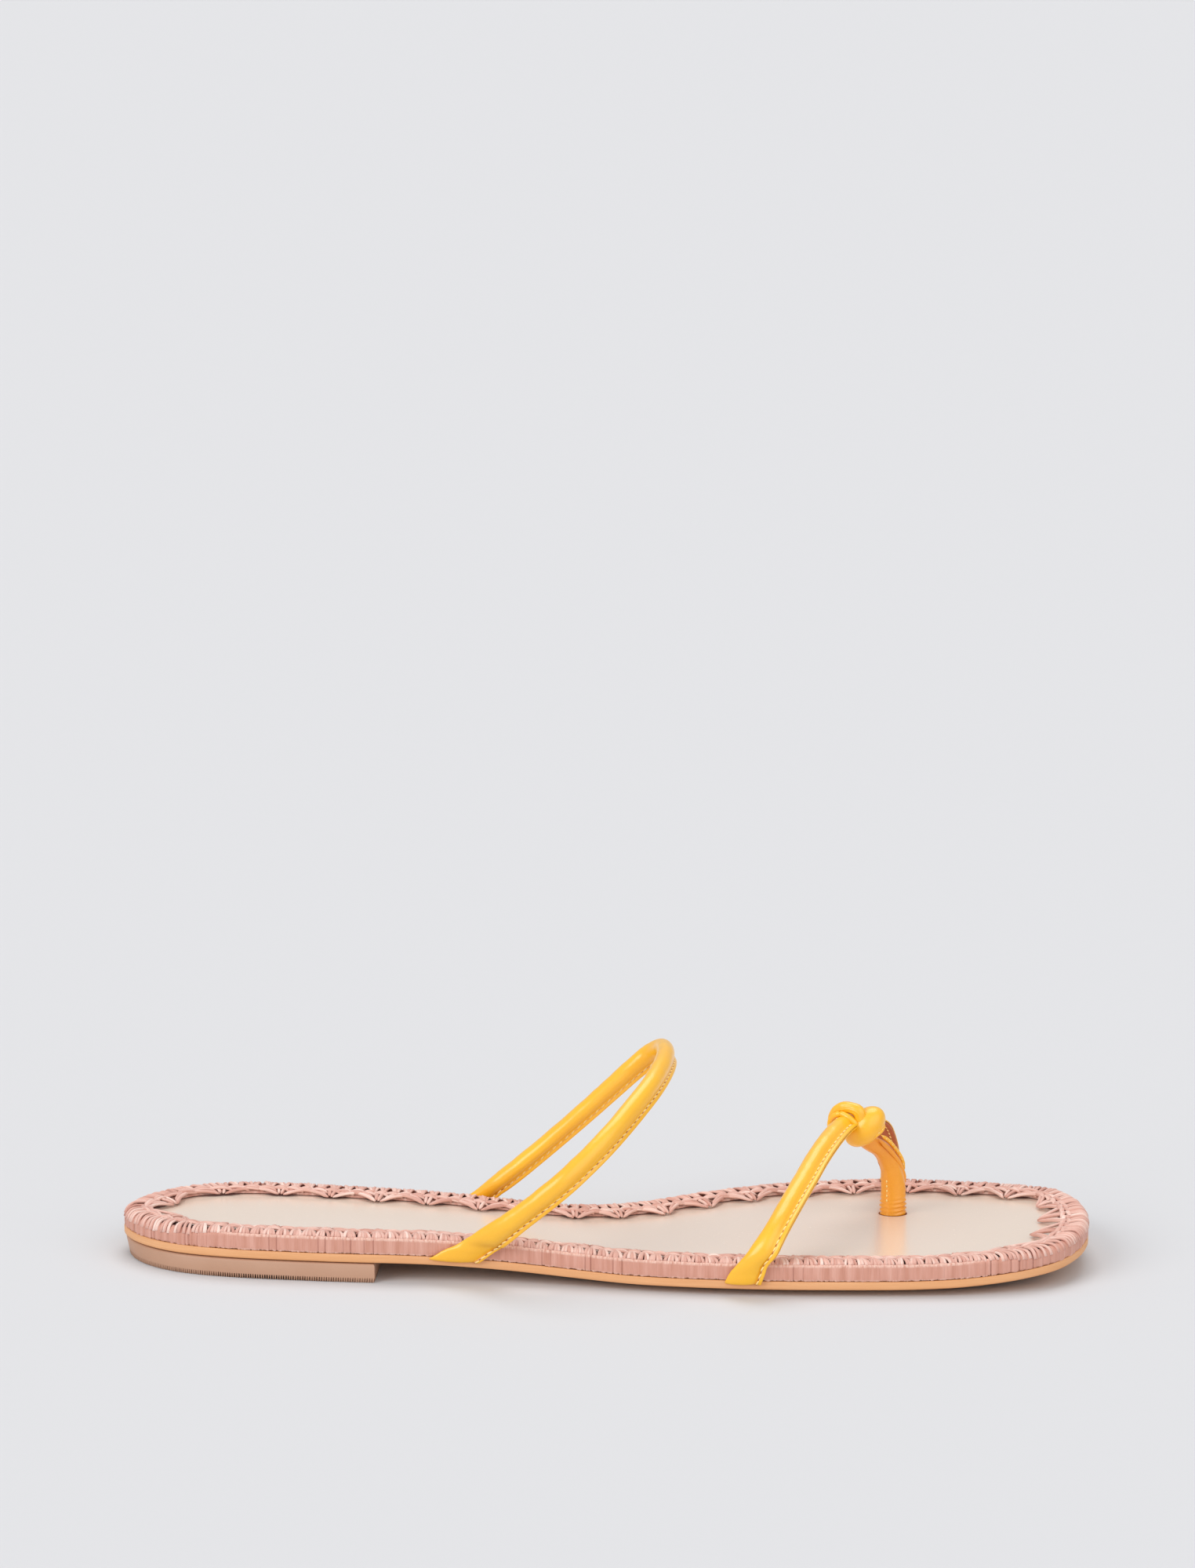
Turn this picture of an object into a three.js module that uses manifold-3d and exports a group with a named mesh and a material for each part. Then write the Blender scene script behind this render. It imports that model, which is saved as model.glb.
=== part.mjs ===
// A flat toe-post sandal for the right foot: a low heel block, a thin outsole, a leather insole whose
// edge is wrapped in raffia and trimmed with crocheted fans, and two tubular leather straps.
// X runs from heel to toe, Y to the inner side of the foot, Z up. The shape is worked out from the
// heel's back edge, and the whole is then moved so that the middle of the heel's rest is the origin.

import * as THREE from "three";
import { mergeVertices } from "three/addons/utils/BufferGeometryUtils.js";
import Module from "manifold-3d";

// Driving sizes, in millimetres
const length = 250.5; // heel's back to toe tip, over the wrapped edge
const ballWidth = 89; // across the ball of the foot
const heelLength = 68; // heel block, back edge to breast
const heelThickness = 5.2; // floor to the outsole
const outsoleThickness = 2.2;
const footbedThickness = 4.1; // insole with its wrap, at the edge
const wrapThickness = 1.2; // raffia on the side and on top
const seam = 0.3; // clearance between pieces that meet on a curve
const edgeRound = 0.5; // softened edges of heel, outsole and wrap
const edgeLift = 1.9; // outsole's rim above the floor under the ball, where the tread bulges down
const treadInset = 7; // outsole's rim to the flat of the tread
const toeSpring = 3.8; // further rise of the toe tip

// The raffia trim, measured inward from the outline
const braidReach = 7.2; // to the inner side of the braid
const braidWidth = 2.2;
const braidRise = 0.5;
const fanReach = 13; // to the point of a fan
const fanPitch = 13.3; // from point to point
const fanThickness = 0.8;
const fanStrand = 1.4; // width of the strands that edge a fan
const fanSpine = 1.2; // width of the strand in a fan's middle

// The straps, a tube with a stitched flange on the side toward the toes
const strapWidth = 4.9;
const strapHeight = 4.5;
const flangeWidth = 1.5;
const flangeThickness = 1.3;
const tabThickness = 1.1; // a flattened end, over the edge and under the insole
const tabDepth = 5; // how far an end tucks under the insole
const foldHeight = 2.6; // a strap where it folds over the insole's edge

const instepTab = 12.8; // width of the flattened end
const instepFold = 10.8; // and where it folds over the insole's edge
const instepFront = 95.2; // where the outer arm folds over the edge, from the heel's back
const instepSkew = 3; // how far the inner arm's end lies behind the outer arm's
const instepEndLean = 58; // degrees that the outer end leans forward
const instepLean = 50; // degrees that the loop leans forward
const instepRise = 62.4; // the loop's height along its lean

const toeTab = 9.6;
const toeStation = 164; // outer arm at the insole's edge, from the heel's back
const toeSweep = 36.1; // how far the inner arm's end lies ahead of the outer arm's
const toeLean = 20; // degrees that the arms lean forward at the insole's edge
const toeRise = 25.6; // middle of the arms at the knot, above the insole's edge

const postWidth = 6.7;
const postDepth = 5.6;
const postStation = 200; // post in the insole, from the heel's back
const postOffset = 20; // post from the heel's centre line
const postSeat = 0.5; // post's foot above the outsole
const knotRadius = 5; // the fold of leather from the arms to the post
const knotStretch = 1.25; // its length as a share of its height
const knotAhead = 1.5; // its middle ahead of the arms' line
const knotBelow = 1.6; // and below it
const bandRadius = 2.4; // the band wound over the outer arm
const bandAhead = 0.6; // its middle ahead of the arm's
const bandAbove = 0.5; // and above it

// Half widths on either side of the heel's centre line, as shares of the ball width,
// at shares of the length
const outlineTable = [
  { along: 0.01, outer: 0.105, inner: 0.085 },
  { along: 0.032, outer: 0.187, inner: 0.18 },
  { along: 0.066, outer: 0.254, inner: 0.25 },
  { along: 0.115, outer: 0.297, inner: 0.283 },
  { along: 0.185, outer: 0.325, inner: 0.27 },
  { along: 0.27, outer: 0.342, inner: 0.228 },
  { along: 0.345, outer: 0.34, inner: 0.197 },
  { along: 0.41, outer: 0.343, inner: 0.173 },
  { along: 0.475, outer: 0.366, inner: 0.177 },
  { along: 0.53, outer: 0.396, inner: 0.243 },
  { along: 0.595, outer: 0.422, inner: 0.372 },
  { along: 0.665, outer: 0.435, inner: 0.478 },
  { along: 0.738, outer: 0.432, inner: 0.538 },
  { along: 0.81, outer: 0.42, inner: 0.562 },
  { along: 0.873, outer: 0.4, inner: 0.52 },
  { along: 0.929, outer: 0.354, inner: 0.452 },
  { along: 0.966, outer: 0.288, inner: 0.372 },
  { along: 0.988, outer: 0.185, inner: 0.25 },
  { along: 0.998, outer: 0.075, inner: 0.12 },
];
// Sideways places of the outline's two ends, as shares of the ball width
const outlineTips = { heel: -0.01, toe: 0.022 };

// Where the underside changes, as shares of the length
const waistEnd = 0.56;
const springStart = 0.795;

// The instep loop from its outer to its inner arm, as shares of the width between its ends
// and of its rise. wide is the strap's width, as a share of its usual one.
const instepTable = [
  { across: -0.028, up: 0.045, wide: 1.22 },
  { across: -0.061, up: 0.115, wide: 1.1 },
  { across: -0.085, up: 0.211, wide: 1.02 },
  { across: -0.108, up: 0.328, wide: 1 },
  { across: -0.104, up: 0.443, wide: 1 },
  { across: -0.051, up: 0.55, wide: 1 },
  { across: 0.03, up: 0.652, wide: 1 },
  { across: 0.144, up: 0.746, wide: 1 },
  { across: 0.285, up: 0.837, wide: 1 },
  { across: 0.449, up: 0.922, wide: 1 },
  { across: 0.67, up: 0.985, wide: 1 },
  { across: 0.88, up: 1.003, wide: 1 },
  { across: 1.04, up: 0.98, wide: 1 },
  { across: 1.125, up: 0.91, wide: 0.97 },
  { across: 1.125, up: 0.82, wide: 0.93 },
  { across: 1.085, up: 0.71, wide: 0.9 },
  { across: 1.035, up: 0.565, wide: 0.88 },
  { across: 0.995, up: 0.39, wide: 0.86 },
  { across: 0.98, up: 0.243, wide: 0.86 },
  { across: 0.986, up: 0.09, wide: 0.92 },
];

// The toe strap from its outer to its inner arm, as shares of the way between its ends
// and of its rise
const toeTable = [
  { along: 0.085, across: -0.004, up: 0.13, wide: 1.1 },
  { along: 0.138, across: 0.01, up: 0.26, wide: 1.02 },
  { along: 0.197, across: 0.045, up: 0.388, wide: 1 },
  { along: 0.257, across: 0.097, up: 0.5, wide: 1 },
  { along: 0.318, across: 0.159, up: 0.605, wide: 1 },
  { along: 0.381, across: 0.23, up: 0.702, wide: 1 },
  { along: 0.442, across: 0.301, up: 0.8, wide: 1 },
  { along: 0.515, across: 0.372, up: 0.9, wide: 1 },
  { along: 0.58, across: 0.437, up: 0.965, wide: 1 },
  { along: 0.646, across: 0.503, up: 0.998, wide: 1 },
  { along: 0.713, across: 0.557, up: 1, wide: 1 },
  { along: 0.806, across: 0.628, up: 0.962, wide: 1 },
  { along: 0.89, across: 0.715, up: 0.83, wide: 1 },
  { along: 0.94, across: 0.802, up: 0.58, wide: 1 },
  { along: 0.966, across: 0.89, up: 0.31, wide: 1 },
  { along: 0.99, across: 0.965, up: 0.14, wide: 1 },
];
// The rows of that line beside which the knot's fold and band lie
const foldRow = 10;
const bandRow = 9;

// The post from the insole up to the knot's fold, as shares of the way between them
const postTable = [
  { toward: 0, up: 0.15 },
  { toward: 0.02, up: 0.36 },
  { toward: 0.15, up: 0.55 },
  { toward: 0.46, up: 0.72 },
  { toward: 0.8, up: 0.85 },
  { toward: 1, up: 0.95 },
];

// How finely curves are cut
const outlineSamples = 480;
const plateSteps = 60;
const fanSteps = 4;
const strapSteps = 2;
const bandPoints = 9;

// Where the band starts round the outer arm and how far it goes, in degrees over the arm's top
const bandStart = -60;
const bandTurn = 240;

const wasm = await Module();
wasm.setup();

function leather(colour, roughness) {
  return new THREE.MeshStandardMaterial({ color: colour, roughness: roughness, metalness: 0 });
}

const materials = {
  heel: leather(0xc8a087, 0.5),
  outsole: leather(0xdca06c, 0.6),
  insole: leather(0xe6d2c4, 0.4),
  raffia: leather(0xd9a896, 0.9),
  strap: leather(0xf7c35c, 0.35),
};

// Heights of the layers at a distance from the heel's back
function waistShare(x) {
  return THREE.MathUtils.smoothstep(x, heelLength + edgeRound, waistEnd * length);
}

function edgeHeight(x) {
  const toe = Math.max(0, x / length - springStart) / (1 - springStart);
  return heelThickness + (edgeLift - heelThickness) * waistShare(x) + toeSpring * toe * toe;
}

function treadHeight(x) {
  return edgeHeight(x) - edgeLift * waistShare(x);
}

function outsoleTop(x) {
  return edgeHeight(x) + outsoleThickness;
}

function footbedBase(x) {
  return outsoleTop(x) + seam;
}

function footbedTop(x) {
  return footbedBase(x) + footbedThickness;
}

function insoleTop(x) {
  return footbedTop(x) - wrapThickness - seam;
}

// The outline as a closed curve, counterclockwise from above, with its inward directions
function outlineCurve() {
  const side = (name, sign) =>
    outlineTable.map((row) => new THREE.Vector3(row.along * length, sign * row[name] * ballWidth, 0));
  const heelTip = new THREE.Vector3(0, outlineTips.heel * ballWidth, 0);
  const toeTip = new THREE.Vector3(length, outlineTips.toe * ballWidth, 0);
  const points = [heelTip, ...side("outer", -1), toeTip, ...side("inner", 1).reverse()];
  return new THREE.CatmullRomCurve3(points, true, "centripetal");
}

const outline = outlineCurve();
const rim = Array.from({ length: outlineSamples }, (unused, i) => {
  const tangent = outline.getTangent(i / outlineSamples);
  return {
    point: outline.getPoint(i / outlineSamples),
    inward: new THREE.Vector3(-tangent.y, tangent.x, 0).normalize(),
  };
});

// The place that lies inset from the outline, at a share of the way round
function onRim(turn, inset) {
  const exact = (turn + 1) * outlineSamples;
  const first = Math.floor(exact);
  const a = rim[first % outlineSamples];
  const b = rim[(first + 1) % outlineSamples];
  const point = a.point.clone().lerp(b.point, exact - first);
  const inward = a.inward.clone().lerp(b.inward, exact - first).normalize();
  return point.addScaledVector(inward, inset);
}

// One side of the outline, inset, from the heel's tip to a distance from the heel's back,
// as evenly spaced points. The outer side is -1, the inner side 1.
function sideLine(side, inset, reach) {
  const points = [];
  for (let i = 0; i <= outlineSamples / 2; i++) {
    const place = onRim((-side * i) / outlineSamples, inset);
    if (place.x > reach && points.length) {
      const last = points[points.length - 1];
      points.push(last.clone().lerp(place, (reach - last.x) / (place.x - last.x)));
      break;
    }
    points.push(place);
  }
  return spread(points, plateSteps);
}

// Points at equal distances along a line of points
function spread(points, steps) {
  const travelled = distances(points);
  return Array.from({ length: steps + 1 }, (unused, k) => {
    const found = travelledTo(travelled, (travelled[travelled.length - 1] * k) / steps);
    return points[found.index].clone().lerp(points[found.index + 1], found.share);
  });
}

function distances(points) {
  const travelled = [0];
  for (let i = 1; i < points.length; i++) {
    travelled.push(travelled[i - 1] + points[i].distanceTo(points[i - 1]));
  }
  return travelled;
}

function travelledTo(travelled, wanted) {
  let index = 0;
  while (index < travelled.length - 2 && travelled[index + 1] < wanted) index++;
  const share = (wanted - travelled[index]) / (travelled[index + 1] - travelled[index]);
  return { index, share };
}

// The outline's edge on one side at a distance from the heel's back, with the ways out, forward
// along the outsole's top, and down from it
function edgeAt(side, x) {
  const line = sideLine(side, 0, x).map((p) => p.setZ(outsoleTop(p.x)));
  const point = line[line.length - 1];
  const forward = point.clone().sub(line[line.length - 2]).normalize();
  const out = new THREE.Vector3(-side * forward.y, side * forward.x, 0).normalize();
  const down = forward.clone().cross(out).multiplyScalar(-side);
  return { point, forward, out, down };
}

// A closed body from loose triangles, with shared vertices merged and empty triangles dropped
function body(triangles) {
  const merged = mergeVertices(new THREE.BufferGeometry().setFromPoints(triangles.flat()), 1e-4);
  const index = merged.getIndex().array;
  const kept = [];
  for (let i = 0; i < index.length; i += 3) {
    const [a, b, c] = index.slice(i, i + 3);
    if (a !== b && b !== c && c !== a) kept.push(a, b, c);
  }
  merged.setIndex(kept);
  return merged;
}

function quad(a, b, c, d) {
  return [
    [a, b, c],
    [a, c, d],
  ];
}

// A plate through levels, each the outline with its own inset and height, up to a cut across it
function plate(levels, reach = length) {
  const layers = levels.map((level) =>
    [-1, 1].map((side) =>
      sideLine(side, level.inset, reach).map((p) => new THREE.Vector3(p.x, p.y, level.height(p.x))),
    ),
  );
  const [floorOuter, floorInner] = layers[0];
  const [topOuter, topInner] = layers[layers.length - 1];
  const triangles = [];
  for (let i = 0; i < plateSteps; i++) {
    triangles.push(...quad(topOuter[i], topOuter[i + 1], topInner[i + 1], topInner[i]));
    triangles.push(...quad(floorInner[i], floorInner[i + 1], floorOuter[i + 1], floorOuter[i]));
  }
  for (let k = 1; k < layers.length; k++) {
    const [lowOuter, lowInner] = layers[k - 1];
    const [highOuter, highInner] = layers[k];
    for (let i = 0; i < plateSteps; i++) {
      triangles.push(...quad(lowOuter[i], lowOuter[i + 1], highOuter[i + 1], highOuter[i]));
      triangles.push(...quad(lowInner[i + 1], lowInner[i], highInner[i], highInner[i + 1]));
    }
    const end = plateSteps;
    triangles.push(...quad(lowOuter[end], lowInner[end], highInner[end], highOuter[end]));
  }
  return body(triangles);
}

// A body through sections of equally many points, joined in a ring or closed at both ends
function loft(sections, ring = false) {
  const triangles = [];
  const count = sections[0].length;
  const spans = ring ? sections.length : sections.length - 1;
  for (let i = 0; i < spans; i++) {
    const here = sections[i];
    const next = sections[(i + 1) % sections.length];
    for (let k = 0; k < count; k++) {
      const l = (k + 1) % count;
      triangles.push(...quad(here[k], next[k], next[l], here[l]));
    }
  }
  if (!ring) {
    triangles.push(...lid(sections[0]).map(([a, b, c]) => [a, c, b]));
    triangles.push(...lid(sections[sections.length - 1]));
  }
  return body(triangles);
}

function lid(section) {
  const middle = new THREE.Vector3();
  section.forEach((p) => middle.addScaledVector(p, 1 / section.length));
  return section.map((p, k) => [middle, section[(k + 1) % section.length], p]);
}

function toSolid(geometry) {
  return new wasm.Manifold(
    new wasm.Mesh({
      numProp: 3,
      vertProperties: new Float32Array(geometry.getAttribute("position").array),
      triVerts: new Uint32Array(geometry.getIndex().array),
    }),
  );
}

function toGeometry(solid) {
  const mesh = solid.getMesh();
  const geometry = new THREE.BufferGeometry();
  geometry.setAttribute("position", new THREE.BufferAttribute(new Float32Array(mesh.vertProperties), 3));
  geometry.setIndex(Array.from(mesh.triVerts));
  return geometry;
}

// A three.js shape as a solid, without its normals and texture places
function shapeSolid(geometry) {
  geometry.deleteAttribute("normal");
  geometry.deleteAttribute("uv");
  return toSolid(mergeVertices(geometry, 1e-4));
}

function heel() {
  const levels = [
    { inset: edgeRound, height: () => 0 },
    { inset: 0, height: () => edgeRound },
    { inset: 0, height: () => heelThickness - seam },
  ];
  return plate(levels, heelLength);
}

// The instep loop's ends reach the outsole further back than they cross the insole's edge
function behind(lean) {
  return footbedThickness * Math.tan(THREE.MathUtils.degToRad(lean));
}

// Each end's side, place, lean and width. An outer arm is still wide where it folds over the edge.
const armWidth = strapWidth + flangeWidth;
const instepBack = instepFront - instepSkew;
const tabs = {
  instepOuter: { side: -1, station: instepFront, lean: instepEndLean, width: instepTab, crest: instepFold },
  instepInner: { side: 1, station: instepBack, lean: instepLean, width: instepTab, crest: armWidth },
  toeOuter: { side: -1, station: toeStation, lean: toeLean, width: toeTab, crest: toeTab },
  toeInner: { side: 1, station: toeStation + toeSweep, lean: 0, width: toeTab, crest: armWidth },
};

// The room for a strap end in the outsole's top
function pocket(tab) {
  const x = tab.station - behind(tab.lean);
  const edge = edgeAt(tab.side, x);
  const box = new THREE.BoxGeometry(
    tab.width + 2 * seam,
    2 * (tabDepth + seam),
    2 * (tabThickness + seam),
  );
  box.rotateY(-Math.asin(edge.forward.z));
  box.rotateZ(Math.atan2(edge.forward.y, edge.forward.x));
  box.translate(edge.point.x, edge.point.y, edge.point.z);
  return shapeSolid(box);
}

function outsole() {
  const slab = plate([
    { inset: treadInset, height: treadHeight },
    { inset: edgeRound, height: edgeHeight },
    { inset: 0, height: (x) => edgeHeight(x) + edgeRound },
    { inset: 0, height: outsoleTop },
  ]);
  return toGeometry(Object.values(tabs).reduce((solid, tab) => solid.subtract(pocket(tab)), toSolid(slab)));
}

// The insole keeps a double seam to the wrap, since both are cut in short straight steps
function insole() {
  const inset = wrapThickness + 2 * seam;
  const slab = plate([
    { inset: inset, height: footbedBase },
    { inset: inset, height: insoleTop },
  ]);
  const hole = new THREE.CylinderGeometry(1, 1, 3 * footbedThickness, 16);
  hole.rotateX(Math.PI / 2);
  hole.scale(postWidth / 2 + seam, postDepth / 2 + seam, 1);
  hole.translate(postStation, postOffset, insoleTop(postStation));
  return toGeometry(toSolid(slab).subtract(shapeSolid(hole)));
}

// Shares of the way round at which the fans' sections lie, evenly spaced along their points
function fanTurns() {
  const turns = Array.from({ length: outlineSamples + 1 }, (unused, i) => i / outlineSamples);
  const points = turns.map((turn) => onRim(turn, fanReach));
  const travelled = distances(points);
  const total = travelled[outlineSamples];
  const count = Math.round(total / fanPitch) * fanSteps;
  return Array.from({ length: count }, (unused, k) => {
    const found = travelledTo(travelled, (total * k) / count);
    return (found.index + found.share) / outlineSamples;
  });
}

// The wrapped edge: a side wall, a lip with a braid on it, and fans that reach in over the insole
function raffiaEdge() {
  const turns = fanTurns();
  const top = footbedThickness;
  const under = footbedThickness - wrapThickness;
  const sections = turns.map((turn, i) => {
    const pointShare = 1 - Math.abs(((2 * i) / fanSteps) % 2 - 1);
    const reach = THREE.MathUtils.lerp(braidReach + seam, fanReach, pointShare);
    const profile = [
      { inset: wrapThickness, height: 0 },
      { inset: edgeRound, height: 0 },
      { inset: 0, height: edgeRound },
      { inset: 0, height: top - edgeRound },
      { inset: edgeRound, height: top },
      { inset: braidReach - braidWidth, height: top },
      { inset: braidReach - braidWidth / 2, height: top + braidRise },
      { inset: braidReach, height: under + fanThickness },
      { inset: reach, height: under + fanThickness },
      { inset: reach, height: under },
      { inset: wrapThickness, height: under },
    ];
    return profile.map((spot) => {
      const place = onRim(turn, spot.inset);
      place.z = footbedBase(place.x) + spot.height;
      return place;
    });
  });
  let solid = toSolid(loft(sections, true));
  for (let i = fanSteps / 2; i < turns.length; i += fanSteps) {
    const halfTurn = (turns[i + 1] - turns[i - 1]) * (fanSteps / 4);
    for (const hand of [-1, 1]) solid = solid.subtract(fanGap(turns[i], halfTurn * hand));
  }
  return toGeometry(solid);
}

// One of the two gaps between a fan's middle strand and the strands at its edges
function fanGap(turn, halfTurn) {
  const base = braidReach + fanStrand / 2;
  const slope = (fanReach - braidReach) / (fanPitch / 2);
  const strandCover = fanStrand * Math.hypot(1, slope);
  const spineShare = fanSpine / fanPitch;
  const corners = [
    { share: spineShare, inset: base },
    { share: (fanReach - strandCover - base) / (fanReach - braidReach), inset: base },
    { share: spineShare, inset: fanReach - strandCover - spineShare * (fanReach - braidReach) },
  ];
  if (halfTurn < 0) corners.reverse();
  const ring = (height) =>
    corners.map((corner) => {
      const place = onRim(turn + corner.share * halfTurn, corner.inset);
      place.z = footbedBase(place.x) + height;
      return place;
    });
  return toSolid(loft([ring(footbedThickness + braidRise), ring(footbedThickness - 2 * wrapThickness)]));
}

// A strap's section: a tube with a flange flush with its inner face, about the middle of both,
// with the directions to the flange and out from the foot
function strapSection(row) {
  const { half, height, flange } = row;
  const lip = Math.min(flangeThickness, height * 0.8);
  const roundAngles = [25, 60, 95, 130, 165, 200];
  const spots = [
    [-0.6 * half, -height / 2],
    [half + flange, -height / 2],
    [half + flange, lip - height / 2],
    [half, lip - height / 2],
    ...roundAngles.map((angle) => {
      const turn = THREE.MathUtils.degToRad(angle);
      return [half * Math.cos(turn), (height / 2) * Math.sin(turn)];
    }),
  ];
  return spots.map(([across, out]) =>
    row.centre.clone().addScaledVector(row.across, across - flange / 2).addScaledVector(row.out, out),
  );
}

// A strap through rows, each with its centre, directions and sizes, smoothed between them
function strap(rows, steps) {
  const path = new THREE.CatmullRomCurve3(
    rows.map((row) => row.centre),
    false,
    "centripetal",
  );
  const spans = rows.length - 1;
  const sections = Array.from({ length: spans * steps + 1 }, (unused, k) => {
    const index = Math.min(Math.floor(k / steps), spans - 1);
    const share = k / steps - index;
    const [a, b] = [rows[index], rows[index + 1]];
    return strapSection({
      centre: path.getPoint(k / (spans * steps)),
      across: a.across.clone().lerp(b.across, share).normalize(),
      out: a.out.clone().lerp(b.out, share).normalize(),
      half: THREE.MathUtils.lerp(a.half, b.half, share),
      height: THREE.MathUtils.lerp(a.height, b.height, share),
      flange: THREE.MathUtils.lerp(a.flange, b.flange, share),
    });
  });
  return loft(sections);
}

// Rows of a strap's end, from under the insole out and up to the top of the insole's edge
function endRows(tab) {
  const back = behind(tab.lean);
  const foot = edgeAt(tab.side, tab.station - back);
  const side = edgeAt(tab.side, tab.station - back / 2);
  const crest = edgeAt(tab.side, tab.station);
  const row = (edge, gap, above, out, height, width = tab.width) => ({
    centre: edge.point.clone().addScaledVector(edge.out, gap).addScaledVector(edge.down, -above),
    across: edge.forward,
    out: out,
    half: (width - flangeWidth) / 2,
    height: height,
    flange: flangeWidth,
  });
  const half = tabThickness / 2;
  const corner = (seam + half) * Math.SQRT1_2;
  const outAndDown = foot.out.clone().add(foot.down).normalize();
  const sideHeight = (tabThickness + foldHeight) / 2;
  return [
    row(foot, -tabDepth, -half, foot.down, tabThickness),
    row(foot, -edgeRound, -half, foot.down, tabThickness),
    row(foot, corner, seam - corner, outAndDown, tabThickness),
    row(side, seam + sideHeight / 2, seam + footbedThickness / 2, side.out, sideHeight),
    row(crest, seam + foldHeight / 2, seam + footbedThickness, crest.out, foldHeight, tab.crest),
  ];
}

// A strap's rows from its outer end over the foot to its inner end. The table's rows are placed
// between the two crests, and the flange is turned toward a direction that the crests give.
function archRows(outerTab, innerTab, table, place, toesBetween) {
  const start = endRows(outerTab);
  const finish = endRows(innerTab).reverse();
  const outer = start[start.length - 1].centre;
  const inner = finish[0].centre;
  const toes = toesBetween(outer, inner);
  const centres = [outer, ...table.map((row) => place(row, outer, inner)), inner];
  const arch = table.map((row, i) => {
    const tangent = centres[i + 2].clone().sub(centres[i]).normalize();
    const across = toes.clone().addScaledVector(tangent, -toes.dot(tangent)).normalize();
    return {
      centre: centres[i + 1],
      across: across,
      out: new THREE.Vector3().crossVectors(across, tangent),
      half: (armWidth * row.wide - flangeWidth) / 2,
      height: strapHeight / row.wide,
      flange: flangeWidth,
    };
  });
  return { start, arch, finish };
}

function instepStrap() {
  const lean = THREE.MathUtils.degToRad(instepLean);
  const rise = new THREE.Vector3(Math.sin(lean), 0, Math.cos(lean)).multiplyScalar(instepRise);
  const place = (row, outer, inner) => outer.clone().lerp(inner, row.across).addScaledVector(rise, row.up);
  const toes = (outer, inner) => inner.clone().sub(outer).cross(rise).normalize();
  const { start, arch, finish } = archRows(tabs.instepOuter, tabs.instepInner, instepTable, place, toes);
  return strap([...start, ...arch, ...finish], strapSteps);
}

// A round tube along a curve, with radii of its own across and along a given direction
function tube(curve, steps, sides, radius, squash = 1, squashed = new THREE.Vector3(0, 1, 0)) {
  const sections = Array.from({ length: steps + 1 }, (unused, k) => {
    const centre = curve.getPoint(k / steps);
    const tangent = curve.getTangent(k / steps);
    const narrow = squashed.clone().addScaledVector(tangent, -squashed.dot(tangent)).normalize();
    const wide = new THREE.Vector3().crossVectors(narrow, tangent);
    return Array.from({ length: sides }, (alsoUnused, s) => {
      const turn = (2 * Math.PI * s) / sides;
      return centre
        .clone()
        .addScaledVector(wide, -radius * Math.cos(turn))
        .addScaledVector(narrow, radius * squash * Math.sin(turn));
    });
  });
  return loft(sections);
}

function post(fold) {
  const foot = new THREE.Vector3(postStation, postOffset, outsoleTop(postStation) + postSeat);
  const points = postTable.map(
    (row) =>
      new THREE.Vector3(
        THREE.MathUtils.lerp(foot.x, fold.x, row.toward),
        THREE.MathUtils.lerp(foot.y, fold.y, row.toward),
        THREE.MathUtils.lerp(foot.z, fold.z, row.up),
      ),
  );
  const curve = new THREE.CatmullRomCurve3([foot, ...points], false, "centripetal");
  return tube(curve, 12, 12, postWidth / 2, postDepth / postWidth);
}

// The band wound over the outer arm beside the knot's fold, an arc about the arm
function band(row) {
  const along = new THREE.Vector3().crossVectors(row.out, row.across);
  const centre = row.centre.clone().add(new THREE.Vector3(bandAhead, 0, bandAbove));
  const radius = (strapWidth + bandRadius) / 2;
  const points = Array.from({ length: bandPoints }, (unused, k) => {
    const turn = THREE.MathUtils.degToRad(bandStart + (k * bandTurn) / (bandPoints - 1));
    return centre
      .clone()
      .addScaledVector(row.across, -radius * Math.cos(turn))
      .addScaledVector(row.out, radius * Math.sin(turn));
  });
  return tube(new THREE.CatmullRomCurve3(points, false, "centripetal"), 14, 10, bandRadius, 1, along);
}

// The two arms, joined at the knot with the post
function toeStrap() {
  const place = (row, outer, inner) =>
    new THREE.Vector3(
      THREE.MathUtils.lerp(outer.x, inner.x, row.along),
      THREE.MathUtils.lerp(outer.y, inner.y, row.across),
      footbedTop(toeStation) + toeRise * row.up,
    );
  const above = new THREE.Vector3(0, 0, 1);
  const toes = (outer, inner) => inner.clone().sub(outer).setZ(0).cross(above).normalize();
  const { start, arch, finish } = archRows(tabs.toeOuter, tabs.toeInner, toeTable, place, toes);
  const fold = arch[foldRow].centre.clone().add(new THREE.Vector3(knotAhead, 0, -knotBelow));
  const ball = new THREE.SphereGeometry(knotRadius, 16, 10);
  ball.scale(knotStretch, 1, 1);
  ball.translate(fold.x, fold.y, fold.z);
  const arms = toSolid(strap([...start, ...arch, ...finish], strapSteps));
  const knot = shapeSolid(ball).add(toSolid(band(arch[bandRow])));
  return toGeometry(arms.add(knot).add(toSolid(post(fold))));
}

function piece(name, geometry, material) {
  const mesh = new THREE.Mesh(geometry, material);
  mesh.name = name;
  return mesh;
}

const group = new THREE.Group();
group.add(
  piece("heel", heel(), materials.heel),
  piece("outsole", outsole(), materials.outsole),
  piece("insole", insole(), materials.insole),
  piece("raffia_edge", raffiaEdge(), materials.raffia),
  piece("instep_strap", instepStrap(), materials.strap),
  piece("toe_strap", toeStrap(), materials.strap),
);
group.position.x = -heelLength / 2;

export default group;
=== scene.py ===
"""The looks of a flat toe-post sandal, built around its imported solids.

Shapes are worked out in millimetres from the heel's back edge, as in the solids, and become metres
in the shared frame where a mesh is made. X runs from heel to toe, Y to the inner side, Z up.
"""

import math
from collections import namedtuple

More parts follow.
